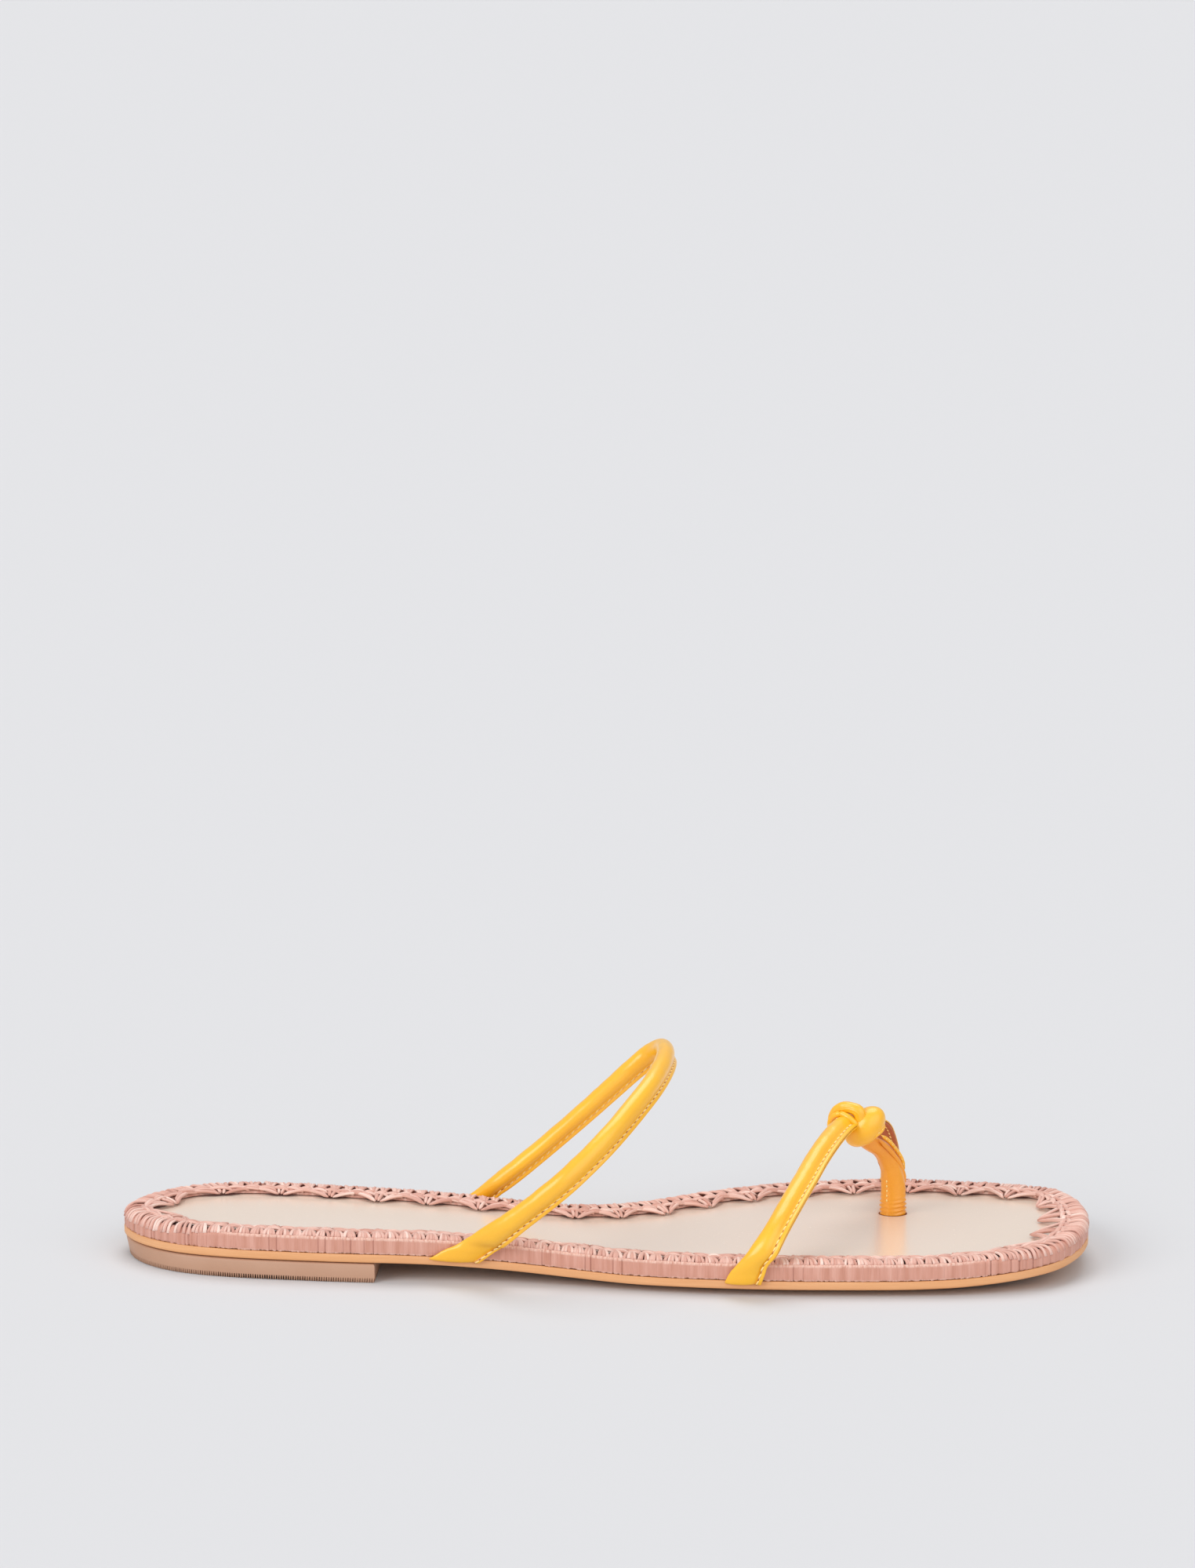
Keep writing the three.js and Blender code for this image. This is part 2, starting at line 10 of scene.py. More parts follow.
import bpy
import numpy as np
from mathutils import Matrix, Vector


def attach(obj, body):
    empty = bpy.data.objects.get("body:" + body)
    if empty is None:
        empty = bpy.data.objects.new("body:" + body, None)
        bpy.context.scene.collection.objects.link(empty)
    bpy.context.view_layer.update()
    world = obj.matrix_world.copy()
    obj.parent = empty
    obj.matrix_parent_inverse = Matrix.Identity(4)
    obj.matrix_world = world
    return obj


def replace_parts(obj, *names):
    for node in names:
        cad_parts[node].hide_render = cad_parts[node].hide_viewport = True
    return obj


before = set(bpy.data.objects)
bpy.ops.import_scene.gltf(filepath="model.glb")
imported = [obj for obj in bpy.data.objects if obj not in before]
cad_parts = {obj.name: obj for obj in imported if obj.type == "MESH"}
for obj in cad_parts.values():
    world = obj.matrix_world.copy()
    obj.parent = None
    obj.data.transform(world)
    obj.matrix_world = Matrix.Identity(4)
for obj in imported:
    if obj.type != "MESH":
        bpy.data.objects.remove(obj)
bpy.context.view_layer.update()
rng = np.random.default_rng(7)

# Driving sizes in millimetres, as in the solids
LENGTH = 250.5
BALL_WIDTH = 89.0
HEEL_LENGTH = 68.0
HEEL_THICKNESS = 5.2
OUTSOLE_THICKNESS = 2.2
FOOTBED_THICKNESS = 4.1
WRAP_THICKNESS = 1.2
SEAM = 0.3
EDGE_ROUND = 0.5
EDGE_LIFT = 1.9
TREAD_INSET = 7.0
TREAD_PITCH = 0.62
TOE_SPRING = 3.8
WALL_HEIGHT = 4.06
WAIST_END = 0.56
SPRING_START = 0.795

# The raffia trim: insets from the outline, height of the braid, and how the fans are set out
BRAID_INSET = 5.75
BRAID_HEIGHT = 4.0
FAN_LINE = 13.0
FAN_PHASE = 0.6
FAN_PITCH = 13.3
STITCHES_PER_FAN = 4

# The straps
STRAP_WIDTH = 4.9
STRAP_HEIGHT = 4.5
FLANGE_WIDTH = 1.5
FLANGE_THICKNESS = 1.3
ARM_WIDTH = STRAP_WIDTH + FLANGE_WIDTH
TAB_THICKNESS = 1.1
TAB_DEPTH = 5.0
FOLD_HEIGHT = 2.6
INSTEP_LEAN = 50.0
INSTEP_RISE = 62.4
TOE_RISE = 25.6
TOE_FRONT = 164.0

POST_WIDTH = 6.7
POST_DEPTH = 5.6
POST_STATION = 200.0
POST_OFFSET = 20.0
POST_SEAT = 0.5
# The knot: its middle from the row of the toe strap that it sits on
KNOT_PLACE = (1.5, 0.0, -1.6)
FOLD_ROW = 10

# Half widths on the outer and inner side, as shares of the ball width, at shares of the length
OUTLINE = [
    (0.01, 0.105, 0.085), (0.032, 0.187, 0.18), (0.066, 0.254, 0.25), (0.115, 0.297, 0.283),
    (0.185, 0.325, 0.27), (0.27, 0.342, 0.228), (0.345, 0.34, 0.197), (0.41, 0.343, 0.173),
    (0.475, 0.366, 0.177), (0.53, 0.396, 0.243), (0.595, 0.422, 0.372), (0.665, 0.435, 0.478),
    (0.738, 0.432, 0.538), (0.81, 0.42, 0.562), (0.873, 0.4, 0.52), (0.929, 0.354, 0.452),
    (0.966, 0.288, 0.372), (0.988, 0.185, 0.25), (0.998, 0.075, 0.12),
]
HEEL_TIP = -0.01
TOE_TIP = 0.022

# The instep loop: shares of the width between its ends and of its rise, and its relative width
INSTEP_ROWS = [
    (-0.028, 0.045, 1.22), (-0.061, 0.115, 1.1), (-0.085, 0.211, 1.02), (-0.108, 0.328, 1.0),
    (-0.104, 0.443, 1.0), (-0.051, 0.55, 1.0), (0.03, 0.652, 1.0), (0.144, 0.746, 1.0),
    (0.285, 0.837, 1.0), (0.449, 0.922, 1.0), (0.67, 0.985, 1.0), (0.88, 1.003, 1.0), (1.04, 0.98, 1.0),
    (1.125, 0.91, 0.97), (1.125, 0.82, 0.93), (1.085, 0.71, 0.9), (1.035, 0.565, 0.88),
    (0.995, 0.39, 0.86), (0.98, 0.243, 0.86), (0.986, 0.09, 0.92),
]
# The toe strap: shares of the way along and across between its ends and of its rise, and its width
TOE_ROWS = [
    (0.074, -0.004, 0.13, 1.14), (0.135, 0.01, 0.26, 1.05), (0.197, 0.045, 0.388, 1.0),
    (0.257, 0.097, 0.5, 1.0), (0.318, 0.159, 0.605, 1.0), (0.381, 0.23, 0.702, 1.0),
    (0.442, 0.301, 0.8, 1.0), (0.515, 0.372, 0.9, 1.0), (0.58, 0.437, 0.965, 1.0),
    (0.646, 0.503, 0.998, 1.0), (0.713, 0.557, 1.0, 1.0), (0.806, 0.628, 0.962, 1.0),
    (0.89, 0.715, 0.83, 1.0), (0.94, 0.802, 0.58, 1.0), (0.966, 0.89, 0.31, 1.0),
    (0.99, 0.965, 0.14, 1.0),
]
# The post: shares of the way toward the knot and up to it
POST_ROWS = [(0.0, 0.15), (0.0, 0.36), (0.08, 0.55), (0.37, 0.73), (0.8, 0.85), (1.0, 0.95)]

# How far the fans reach in, at fans counted round from the heel by way of the outer side
FAN_REACHES = [
    (0.0, 12.3), (1.5, 11.4), (15.0, 11.4), (16.6, 12.4), (17.7, 13.8), (18.7, 12.9), (19.7, 10.9),
    (21.0, 9.9), (26.6, 10.9), (29.6, 9.6), (32.0, 10.4), (33.6, 9.9), (34.8, 8.4), (36.6, 8.2),
    (37.3, 9.2), (38.0, 12.3),
]

# Strap ends: side of the foot, station, lean in degrees, width of the end and at the edge's fold
Tab = namedtuple("Tab", "side station lean width crest")
TABS = {
    "instep_outer": Tab(-1, 95.2, 58.0, 12.8, 10.8),
    "instep_inner": Tab(1, 92.2, 50.0, 12.8, ARM_WIDTH),
    "toe_outer": Tab(-1, TOE_FRONT + 0.6, 29.0, 9.2, 7.9),
    "toe_inner": Tab(1, 200.1, 0.0, 9.6, ARM_WIDTH),
}
Row = namedtuple("Row", "centre across out half height flange")


# Small helpers for vectors and curves


def unit(vectors):
    return vectors / np.maximum(np.linalg.norm(vectors, axis=-1, keepdims=True), 1e-9)


def smoothstep(values, low, high):
    share = np.clip((values - low) / (high - low), 0, 1)
    return share * share * (3 - 2 * share)


def curve_points(points, turns, closed=False):
    """Places on a centripetal Catmull-Rom curve through points, at shares of its spans."""
    points = np.asarray(points, float)
    spans = len(points) if closed else len(points) - 1
    place = np.clip(np.asarray(turns, float) * spans, 0, spans if closed else spans - 1e-9)
    first = np.floor(place).astype(int)
    share = (place - first)[:, None]
    if closed:
        ring = points[np.arange(-1, spans + 3) % len(points)]
    else:
        ring = np.vstack([2 * points[0] - points[1], points, 2 * points[-1] - points[-2]])
    a, b, c, d = (ring[first + k] for k in range(4))
    before, within, after = (
        np.sqrt(np.maximum(np.linalg.norm(q - p, axis=1, keepdims=True), 1e-6))
        for p, q in ((a, b), (b, c), (c, d))
    )
    leave = ((b - a) / before - (c - a) / (before + within) + (c - b) / within) * within
    arrive = ((c - b) / within - (d - b) / (within + after) + (d - c) / after) * within
    cubic = 2 * b - 2 * c + leave + arrive
    square = -3 * b + 3 * c - 2 * leave - arrive
    return ((cubic * share + square) * share + leave) * share + b


def travelled(points):
    """How far along a line of points each one lies."""
    steps = np.linalg.norm(np.diff(points, axis=0), axis=1)
    return np.concatenate([[0], np.cumsum(steps)])


def at_distances(values, far, wanted):
    """Vectors known along a line, at other distances from its start."""
    return np.stack([np.interp(wanted, far, values[:, k]) for k in range(values.shape[1])], axis=-1)


def evenly(points, count):
    """Points at equal distances along a line."""
    far = travelled(points)
    return at_distances(points, far, np.linspace(0, far[-1], count))


def wavy(places, waves, seed):
    """Smooth random values between about -1 and 1, with so many waves per unit of place."""
    generator = np.random.default_rng(seed)
    knots = int(np.ceil(np.max(places) * waves)) + 4
    values = generator.uniform(-1, 1, knots)
    exact = np.asarray(places) * waves + 1
    first = np.floor(exact).astype(int)
    share = exact - first
    share = share * share * (3 - 2 * share)
    return values[first % knots] * (1 - share) + values[(first + 1) % knots] * share


# Heights of the layers at a distance from the heel's back


def waist_share(x):
    return smoothstep(np.asarray(x, float), HEEL_LENGTH + EDGE_ROUND, WAIST_END * LENGTH)


def edge_height(x):
    toe = np.maximum(0, np.asarray(x) / LENGTH - SPRING_START) / (1 - SPRING_START)
    return HEEL_THICKNESS + (EDGE_LIFT - HEEL_THICKNESS) * waist_share(x) + TOE_SPRING * toe * toe


def tread_height(x):
    return edge_height(x) - EDGE_LIFT * waist_share(x)


def outsole_top(x):
    return edge_height(x) + OUTSOLE_THICKNESS


def footbed_base(x):
    return outsole_top(x) + SEAM


def insole_top(x):
    return footbed_base(x) + FOOTBED_THICKNESS - WRAP_THICKNESS - SEAM


# The outline and places measured from it

RIM_COUNT = 4800


def outline_control():
    outer = [(along * LENGTH, -outer * BALL_WIDTH, 0) for along, outer, inner in OUTLINE]
    inner = [(along * LENGTH, inner * BALL_WIDTH, 0) for along, outer, inner in OUTLINE]
    heel = (0, HEEL_TIP * BALL_WIDTH, 0)
    toe = (LENGTH, TOE_TIP * BALL_WIDTH, 0)
    return [heel, *outer, toe, *reversed(inner)]


rim_point = curve_points(outline_control(), np.arange(RIM_COUNT) / RIM_COUNT, closed=True)
rim_tangent = np.roll(rim_point, -1, axis=0) - np.roll(rim_point, 1, axis=0)
rim_inward = unit(np.stack([-rim_tangent[:, 1], rim_tangent[:, 0], rim_tangent[:, 2]], axis=1))


def on_rim(turn, inset):
    """Places inset from the outline, at shares of the way round it."""
    exact = (np.asarray(turn, float) % 1.0) * RIM_COUNT
    first = np.floor(exact).astype(int)
    share = (exact - first)[..., None]
    first = first % RIM_COUNT
    second = (first + 1) % RIM_COUNT
    point = rim_point[first] * (1 - share) + rim_point[second] * share
    inward = unit(rim_inward[first] * (1 - share) + rim_inward[second] * share)
    return point + inward * np.asarray(inset, float)[..., None]


def side_line(side, inset, count, reach=LENGTH):
    """One side of the outline, inset, from heel to toe or up to a reach. The outer side is -1."""
    line = on_rim(-side * np.linspace(0, 0.5, 1600), np.full(1600, float(inset)))
    if reach < LENGTH:
        kept = line[line[:, 0] <= reach]
        beyond = line[len(kept)]
        share = (reach - kept[-1, 0]) / (beyond[0] - kept[-1, 0])
        line = np.vstack([kept, kept[-1] + (beyond - kept[-1]) * share])
    return evenly(line, count)


reach_turns = np.linspace(0, 1, RIM_COUNT + 1)
reach_travelled = travelled(on_rim(reach_turns, np.full(RIM_COUNT + 1, FAN_LINE)))
FAN_COUNT = int(round(reach_travelled[-1] / FAN_PITCH))


def on_trim(fan, inset, height):
    """Places on the trim: the fan counted round from the heel, inset, and height over its base."""
    fan, inset, height = np.broadcast_arrays(*(np.asarray(v, float) for v in (fan, inset, height)))
    along = (fan % FAN_COUNT) * reach_travelled[-1] / FAN_COUNT
    place = on_rim(np.interp(along, reach_travelled, reach_turns), inset)
    place[..., 2] = footbed_base(place[..., 0]) + height
    return place


# Meshes


def grid_quads(rows, columns, ring_rows=False, ring_columns=False):
    """Faces of a grid of points, rows after one another, closed round in either direction."""
    row = np.arange(rows if ring_rows else rows - 1)[:, None]
    column = np.arange(columns if ring_columns else columns - 1)[None, :]
    next_row = (row + 1) % rows
    next_column = (column + 1) % columns
    corners = [
        row * columns + column,
        row * columns + next_column,
        next_row * columns + next_column,
        next_row * columns + column,
    ]
    return np.stack([np.broadcast_to(c, (row.size, column.size)) for c in corners], axis=-1).reshape(-1, 4)


def link_object(name, data):
    """A new object in the scene."""
    item = bpy.data.objects.new(name, data)
    bpy.context.collection.objects.link(item)
    return item


def make_piece(name, places, quads, material, uv=None):
    """A mesh object in the shared frame from places in millimetres, riding on the sandal."""
    places = (np.asarray(places, float).reshape(-1, 3) - (HEEL_LENGTH / 2, 0, 0)) * 0.001
    mesh = bpy.data.meshes.new(name)
    mesh.vertices.add(len(places))
    mesh.vertices.foreach_set("co", places.ravel())
    mesh.loops.add(quads.size)
    mesh.loops.foreach_set("vertex_index", quads.ravel())
    mesh.polygons.add(len(quads))
    mesh.polygons.foreach_set("loop_start", np.arange(len(quads)) * quads.shape[1])
    mesh.polygons.foreach_set("use_smooth", np.ones(len(quads), bool))
    if uv is not None:
        layer = mesh.uv_layers.new(name="UVMap")
        layer.data.foreach_set("uv", uv.reshape(-1, 2)[quads.ravel()].ravel())
    mesh.update(calc_edges=True)
    mesh.validate()
    mesh.materials.append(material)
    piece = link_object(name, mesh)
    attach(piece, "root")
    return piece


def make_tube(name, places, material):
    """A leather piece through rings of places, its faces turned outward."""
    quads = grid_quads(*places.shape[:2], ring_columns=True)
    corner = places.reshape(-1, 3)[quads]
    middle = corner.mean(axis=1) - corner.reshape(-1, 3).mean(axis=0)
    normal = np.cross(corner[:, 2] - corner[:, 0], corner[:, 3] - corner[:, 1])
    outward = (middle * normal).sum() > 0
    make_piece(name, places, quads if outward else quads[:, ::-1], material)


def turns_round(count):
    """Angles evenly round a circle."""
    return np.arange(count) * 2 * math.pi / count


def rings_round(centres, sides, fronts, angles, wide, high):
    """A ring of places round each centre, at half widths to its side and half heights to its front."""
    return (
        centres[..., None, :]
        + sides[..., None, :] * (np.cos(angles) * wide)[..., None]
        + fronts[..., None, :] * (np.sin(angles) * high)[..., None]
    )


def make_strands(name, material, paths, widths, heights, sides=8, up=(0, 0, 1), twists=None):
    """Flattened tubes along paths of equal length, with coordinates that follow their fibres."""
    paths = np.asarray(paths, float)
    count, steps = paths.shape[:2]
    widths = np.broadcast_to(widths, (count, steps))[..., None]
    heights = np.broadcast_to(heights, (count, steps))[..., None]
    tangent = unit(np.gradient(paths, axis=1))
    across = unit(np.cross(np.broadcast_to(up, paths.shape), tangent))
    normal = np.cross(tangent, across)
    if twists is not None:
        turn = np.broadcast_to(twists, (count, steps))[..., None]
        across, normal = (
            across * np.cos(turn) + normal * np.sin(turn),
            normal * np.cos(turn) - across * np.sin(turn),
        )
    ring = rings_round(paths, across, normal, turns_round(sides) - math.pi / 2, widths / 2, heights / 2)
    tube = grid_quads(steps, sides, ring_columns=True)
    caps = np.array([(k, k + 1, sides - 2 - k, sides - 1 - k) for k in range(sides // 2 - 1)])
    one = np.vstack([tube, caps[:, ::-1], caps + (steps - 1) * sides])[:, ::-1]
    quads = (one[None] + (np.arange(count) * steps * sides)[:, None, None]).reshape(-1, 4)
    gone = np.cumsum(np.linalg.norm(np.diff(paths, axis=1), axis=2), axis=1)
    offset = rng.uniform(0, 400, (count, 2))[:, None, None]
    along = np.concatenate([np.zeros((count, 1)), gone], axis=1)[..., None] + offset[..., 0]
    round_it = np.arange(sides) * (widths * 2.2 / sides) + offset[..., 1]
    make_piece(name, ring, quads, material, np.stack(np.broadcast_arrays(along, round_it), axis=-1))


# Materials


def srgb(red, green, blue):
    """A colour of the picture, from 0 to 255, as the shader's linear colour."""
    values = [v / 255 for v in (red, green, blue)]
    return tuple(v / 12.92 if v <= 0.04045 else ((v + 0.055) / 1.055) ** 2.4 for v in values) + (1.0,)


class Finish:
    """A procedural material, with short ways to add its nodes."""

    def __init__(self, name, roughness, specular):
        self.material = bpy.data.materials.new(name)
        self.material.use_nodes = True
        self.tree = self.material.node_tree
        self.shader = self.tree.nodes["Principled BSDF"]
        self.set("Roughness", roughness)
        self.set("Specular IOR Level", specular)

    def set(self, socket, value, node=None):
        """A value for a socket of a node or of the shader, or a link to it."""
        socket = (node or self.shader).inputs[socket]
        if isinstance(value, bpy.types.NodeSocket):
            self.tree.links.new(value, socket)
        else:
            socket.default_value = value

    def add(self, kind, output, sockets, **settings):
        """The output of a new node with these settings and these values or links on its sockets."""
        node = self.tree.nodes.new(kind)
        for key, value in settings.items():
            setattr(node, key, value)
        for key, value in sockets.items():
            self.set(key, value, node)
        return node.outputs[output]

    def place(self, *scale, fibres=False):
        """Coordinates in millimetres, or along and across the fibres, times one scale or three."""
        source = self.add("ShaderNodeTexCoord", "UV" if fibres else "Object", {})
        factor = 1.0 if fibres else 1000.0
        scales = [factor * s for s in (scale * 3)[:3]]
        return self.add("ShaderNodeMapping", "Vector", {"Vector": source, "Scale": scales})

    def noise(self, vector, detail, roughness):
        sockets = {"Vector": vector, "Scale": 1.0, "Detail": detail, "Roughness": roughness}
        return self.add("ShaderNodeTexNoise", "Fac", sockets)

    def cells(self, vector):
        return self.add("ShaderNodeTexVoronoi", "Distance", {"Vector": vector, "Scale": 1.0})

    def ramp(self, value, stops):
        colour = self.add("ShaderNodeValToRGB", "Color", {"Fac": value})
        elements = colour.node.color_ramp.elements
        while len(elements) < len(stops):
            elements.new(0.5)
        for element, (position, tone) in zip(elements, stops):
            element.position = position
            element.color = tone
        return colour

    def mix(self, factor, first, second, blend="MIX"):
        sockets = {"Factor": factor, 6: first, 7: second}
        return self.add("ShaderNodeMix", 2, sockets, data_type="RGBA", blend_type=blend)

    def bump(self, heights):
        """Raises the surface by pairs of a pattern and its height in millimetres."""
        sockets = {"Strength": 1.0}
        for value, height in heights:
            sockets.update({"Height": value, "Distance": height * 0.001})
            sockets["Normal"] = self.add("ShaderNodeBump", "Normal", sockets)
        self.set("Normal", sockets["Normal"])

    def roughness(self, value, low, high):
        sockets = {"Value": value, "To Min": low, "To Max": high}
        self.set("Roughness", self.add("ShaderNodeMapRange", "Result", sockets))


def raffia_finish(name, dark, middle, light, pale_edge_and_highlight=None):
    """Straw fibre: fine streaks along each strand, tones that change, and, if given, paler bands along the
    foot and top edge, the top one a painted highlight.
    """
    finish = Finish(name, 0.6, 0.35)
    streaks = finish.noise(finish.place(0.12, 7.0, 1, fibres=True), 4.0, 0.6)
    tones = finish.noise(finish.place(0.06, 0.5, 1, fibres=True), 2.0, 0.5)
    base = finish.ramp(tones, [(0.3, srgb(*dark)), (0.5, srgb(*middle)), (0.7, srgb(*light))])
    shade = finish.ramp(streaks, [(0.3, srgb(230, 218, 214)), (0.52, srgb(255, 255, 255))])
    colour = finish.mix(0.7, base, shade, "MULTIPLY")
    if pale_edge_and_highlight is not None:
        # Paler bands along the foot and the top of the wall, broken into patches; the top band is painted
        # highlight where the rounded top catches light from above
        across = finish.place(1 / 8, 1, 1, fibres=True)
        none, full = (0, 0, 0, 1), (1, 1, 1, 1)
        edges = [(0.0, full), (0.05, none), (0.41, none), (0.455, full), (0.53, full), (0.56, none)]
        band = finish.ramp(finish.add("ShaderNodeSeparateXYZ", "X", {0: across}), edges)
        patches = finish.noise(finish.place(0.5, 1.6, 1, fibres=True), 3.0, 0.6)
        amount = finish.mix(1.0, band, finish.ramp(patches, [(0.35, none), (0.6, full)]), "MULTIPLY")
        colour = finish.mix(amount, colour, srgb(*pale_edge_and_highlight))
    finish.set("Base Color", colour)
    finish.bump([(tones, 0.04), (streaks, 0.045)])
    finish.set("Sheen Weight", 0.15)
    finish.set("Sheen Roughness", 0.5)
    return finish.material


def leather(name, shine, clouds, grain, tones, flecks=None, swell=None, pores=None, polish=None):
    """Leather or moulded sole: clouds of two tones and a grain, and flecks, pores and a polish if given.

    Shine is roughness and specular. Clouds and grain are scale, detail and roughness, the grain with
    its height. Polish is the least and greatest roughness, and the coat's weight and roughness.
    """
    finish = Finish(name, *shine)
    cloud = finish.noise(finish.place(*clouds[0]), *clouds[1:])
    fine = finish.noise(finish.place(*grain[0]), *grain[1:3])
    spread, first, second = tones
    colour = finish.ramp(cloud, [(spread, srgb(*first)), (1 - spread, srgb(*second))])
    if flecks is not None:
        amount, dark, light = flecks
        colour = finish.mix(amount, colour, finish.ramp(fine, [(0.35, srgb(*dark)), (0.65, srgb(*light))]))
    finish.set("Base Color", colour)
    relief = [(fine, grain[3])]
    if swell is not None:
        relief.insert(0, (cloud, swell))
    if pores is not None:
        relief.append((finish.cells(finish.place(pores[0])), pores[1]))
    finish.bump(relief)
    if polish is not None:
        finish.roughness(fine, *polish[:2])
        finish.set("Coat Weight", polish[2])
        finish.set("Coat Roughness", polish[3])
    return finish.material


def strap_leather(name, first, second):
    """Smooth yellow leather under a thin polish, with a faint grain."""
    return leather(
        name, (0.42, 0.5), ((0.07,), 3.0, 0.5), ((2.6,), 4.0, 0.6, 0.018), (0.3, first, second),
        flecks=(0.1, (232, 146, 24), (255, 198, 70)), swell=0.12, pores=(3.2, 0.012),
        polish=(0.38, 0.5, 0.8, 0.24),
    )


def plain_leather(name, first, second, roughness):
    """Leather of one tone for linings, cut edges and thread."""
    tones = (0.3, first, second)
    return leather(name, (roughness, 0.4), ((0.6,), 4.0, 0.6), ((5.0,), 3.0, 0.6, 0.02), tones)


RAFFIA = raffia_finish("raffia", (203, 146, 130), (224, 176, 161), (245, 216, 204))
# The wall's raffia: paler along its foot, with a painted highlight along its top edge
RAFFIA_WALL = raffia_finish(
    "raffia_wall", (200, 141, 121), (210, 153, 135), (220, 167, 150), pale_edge_and_highlight=(230, 190, 174)
)
# Dark raffia: painted shade for the sheets seen through the holes between braid, wraps and fans
RAFFIA_PAINTED_SHADE = raffia_finish("raffia_painted_shade", (100, 54, 44), (122, 68, 56), (146, 86, 70))
STRAP = strap_leather("strap_leather", (251, 183, 14), (255, 193, 24))
# Deeper orange copy of the strap leather: painted shade for the post and its near pleat under the knot
POST_SHADED_LEATHER = strap_leather("post_leather_painted_shade", (238, 148, 4), (243, 160, 8))
LINING = plain_leather("strap_lining", (176, 92, 52), (192, 108, 66), 0.6)
CUT_EDGE = plain_leather("strap_cut_edge", (206, 140, 96), (236, 180, 140), 0.6)
THREAD = plain_leather("thread", (252, 214, 128), (255, 228, 156), 0.5)
# Painted shade for the needle holes
NEEDLE_HOLE_SHADE = plain_leather("needle_hole_shade", (150, 88, 26), (172, 104, 34), 0.7)
# Painted shade for the groove between a strap's tube and its flange
SEAM_SHADE = plain_leather("seam_painted_shade", (214, 142, 26), (226, 154, 36), 0.6)
# Painted shade for the slot where the post goes into the insole
SLOT_SHADE = plain_leather("slot_painted_shade", (112, 58, 32), (136, 74, 42), 0.7)
INSOLE = leather(
    "insole_leather", (0.24, 0.6), ((0.012, 0.02, 0.02), 2.0, 0.5), ((1.8,), 4.0, 0.6, 0.012),
    (0.35, (237, 217, 199), (240, 221, 206)), pores=(3.6, 0.008), polish=(0.21, 0.3, 0.8, 0.21),
)
OUTSOLE = leather(
    "outsole_edge", (0.5, 0.4), ((0.03, 0.03, 0.3), 3.0, 0.5), ((0.1, 0.1, 9.0), 3.0, 0.6, 0.03),
    (0.3, (220, 158, 106), (229, 172, 124)), flecks=(0.25, (205, 140, 86), (243, 190, 138)),
)
HEEL = leather(
    "heel_block", (0.48, 0.45), ((0.05,), 3.0, 0.5), ((3.0,), 4.0, 0.6, 0.02),
    (0.3, (184, 142, 116), (192, 151, 126)),
)


# Sole pieces


def slab(name, levels, columns, material):
    """A plate through levels of inset and height, with a grid of columns over top and bottom."""
    steps = 360
    rings = []
    for inset, height in levels:
        sides = [side_line(side, inset, steps) for side in (-1, 1)]
        for line in sides:
            line[:, 2] = height(line[:, 0])
        rings.append(sides)
    share = np.linspace(0, 1, columns)[None, :, None]
    parts = [outer[:, None] * (1 - share) + inner[:, None] * share for outer, inner in (rings[0], rings[-1])]
    wall = np.stack([np.vstack([outer, inner[::-1]]) for outer, inner in rings])
    bottom = grid_quads(steps, columns)
    top = bottom[:, ::-1] + steps * columns
    side = grid_quads(len(rings), 2 * steps, ring_columns=True)[:, ::-1] + 2 * steps * columns
    places = np.vstack([part.reshape(-1, 3) for part in (*parts, wall)])
    return make_piece(name, places, np.vstack([bottom, top, side])[:, ::-1], material)


# The outsole's section: inset of the tread's rim and its share of the lift, inset of the lower edge,
# where the upright wall starts, and the upper corner as inset and depth under the top
TREAD_RIM = (3.0, 0.12)
LOWER_EDGE = 0.75
WALL_RISE = 0.7
UPPER_CORNER = [(0.0, 0.35), (0.08, 0.12), (0.3, 0.0)]


def build_outsole():
    """The outsole with a softened edge and the bulge of its tread."""
    tread_inset, tread_share = TREAD_RIM
    levels = [(TREAD_INSET, tread_height)]
    levels += [(tread_inset, lambda x: edge_height(x) - tread_share * EDGE_LIFT * waist_share(x))]
    rises = [(LOWER_EDGE, 0.0)]
    rises += [(EDGE_ROUND * (1 - math.sin(a)), EDGE_ROUND * (1 - math.cos(a))) for a in (0.4, 0.9, 1.4)]
    rises += [(0.0, WALL_RISE)]
    levels += [(inset, lambda x, rise=rise: edge_height(x) + rise) for inset, rise in rises]
    levels += [(inset, lambda x, drop=drop: outsole_top(x) - drop) for inset, drop in UPPER_CORNER]
    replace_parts(slab("outsole_slab", levels, 12, OUTSOLE), "outsole")


def build_insole():
    """The insole with its leather cover."""
    inset, corner = WRAP_THICKNESS + 2 * SEAM, 0.2
    levels = [(inset, footbed_base), (inset, lambda x: insole_top(x) - corner), (inset + corner, insole_top)]
    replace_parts(slab("insole_cover", levels, 40, INSOLE), "insole")


# The gaps between the ribs of the heel's tread, as share of the pitch and as height, and how high
# the chamfer at the ribs' foot goes
RIB_GAP_SHARE = 0.55
RIB_GAP_HEIGHT = 1.1
RIB_CHAMFER = 0.25
# How far the heel's back leans in at its foot, how far all of it is set in, each with its reach
HEEL_BACK_SLOPE = (1.1, 7.0)
HEEL_BACK_SETBACK = (0.45, 9.0)


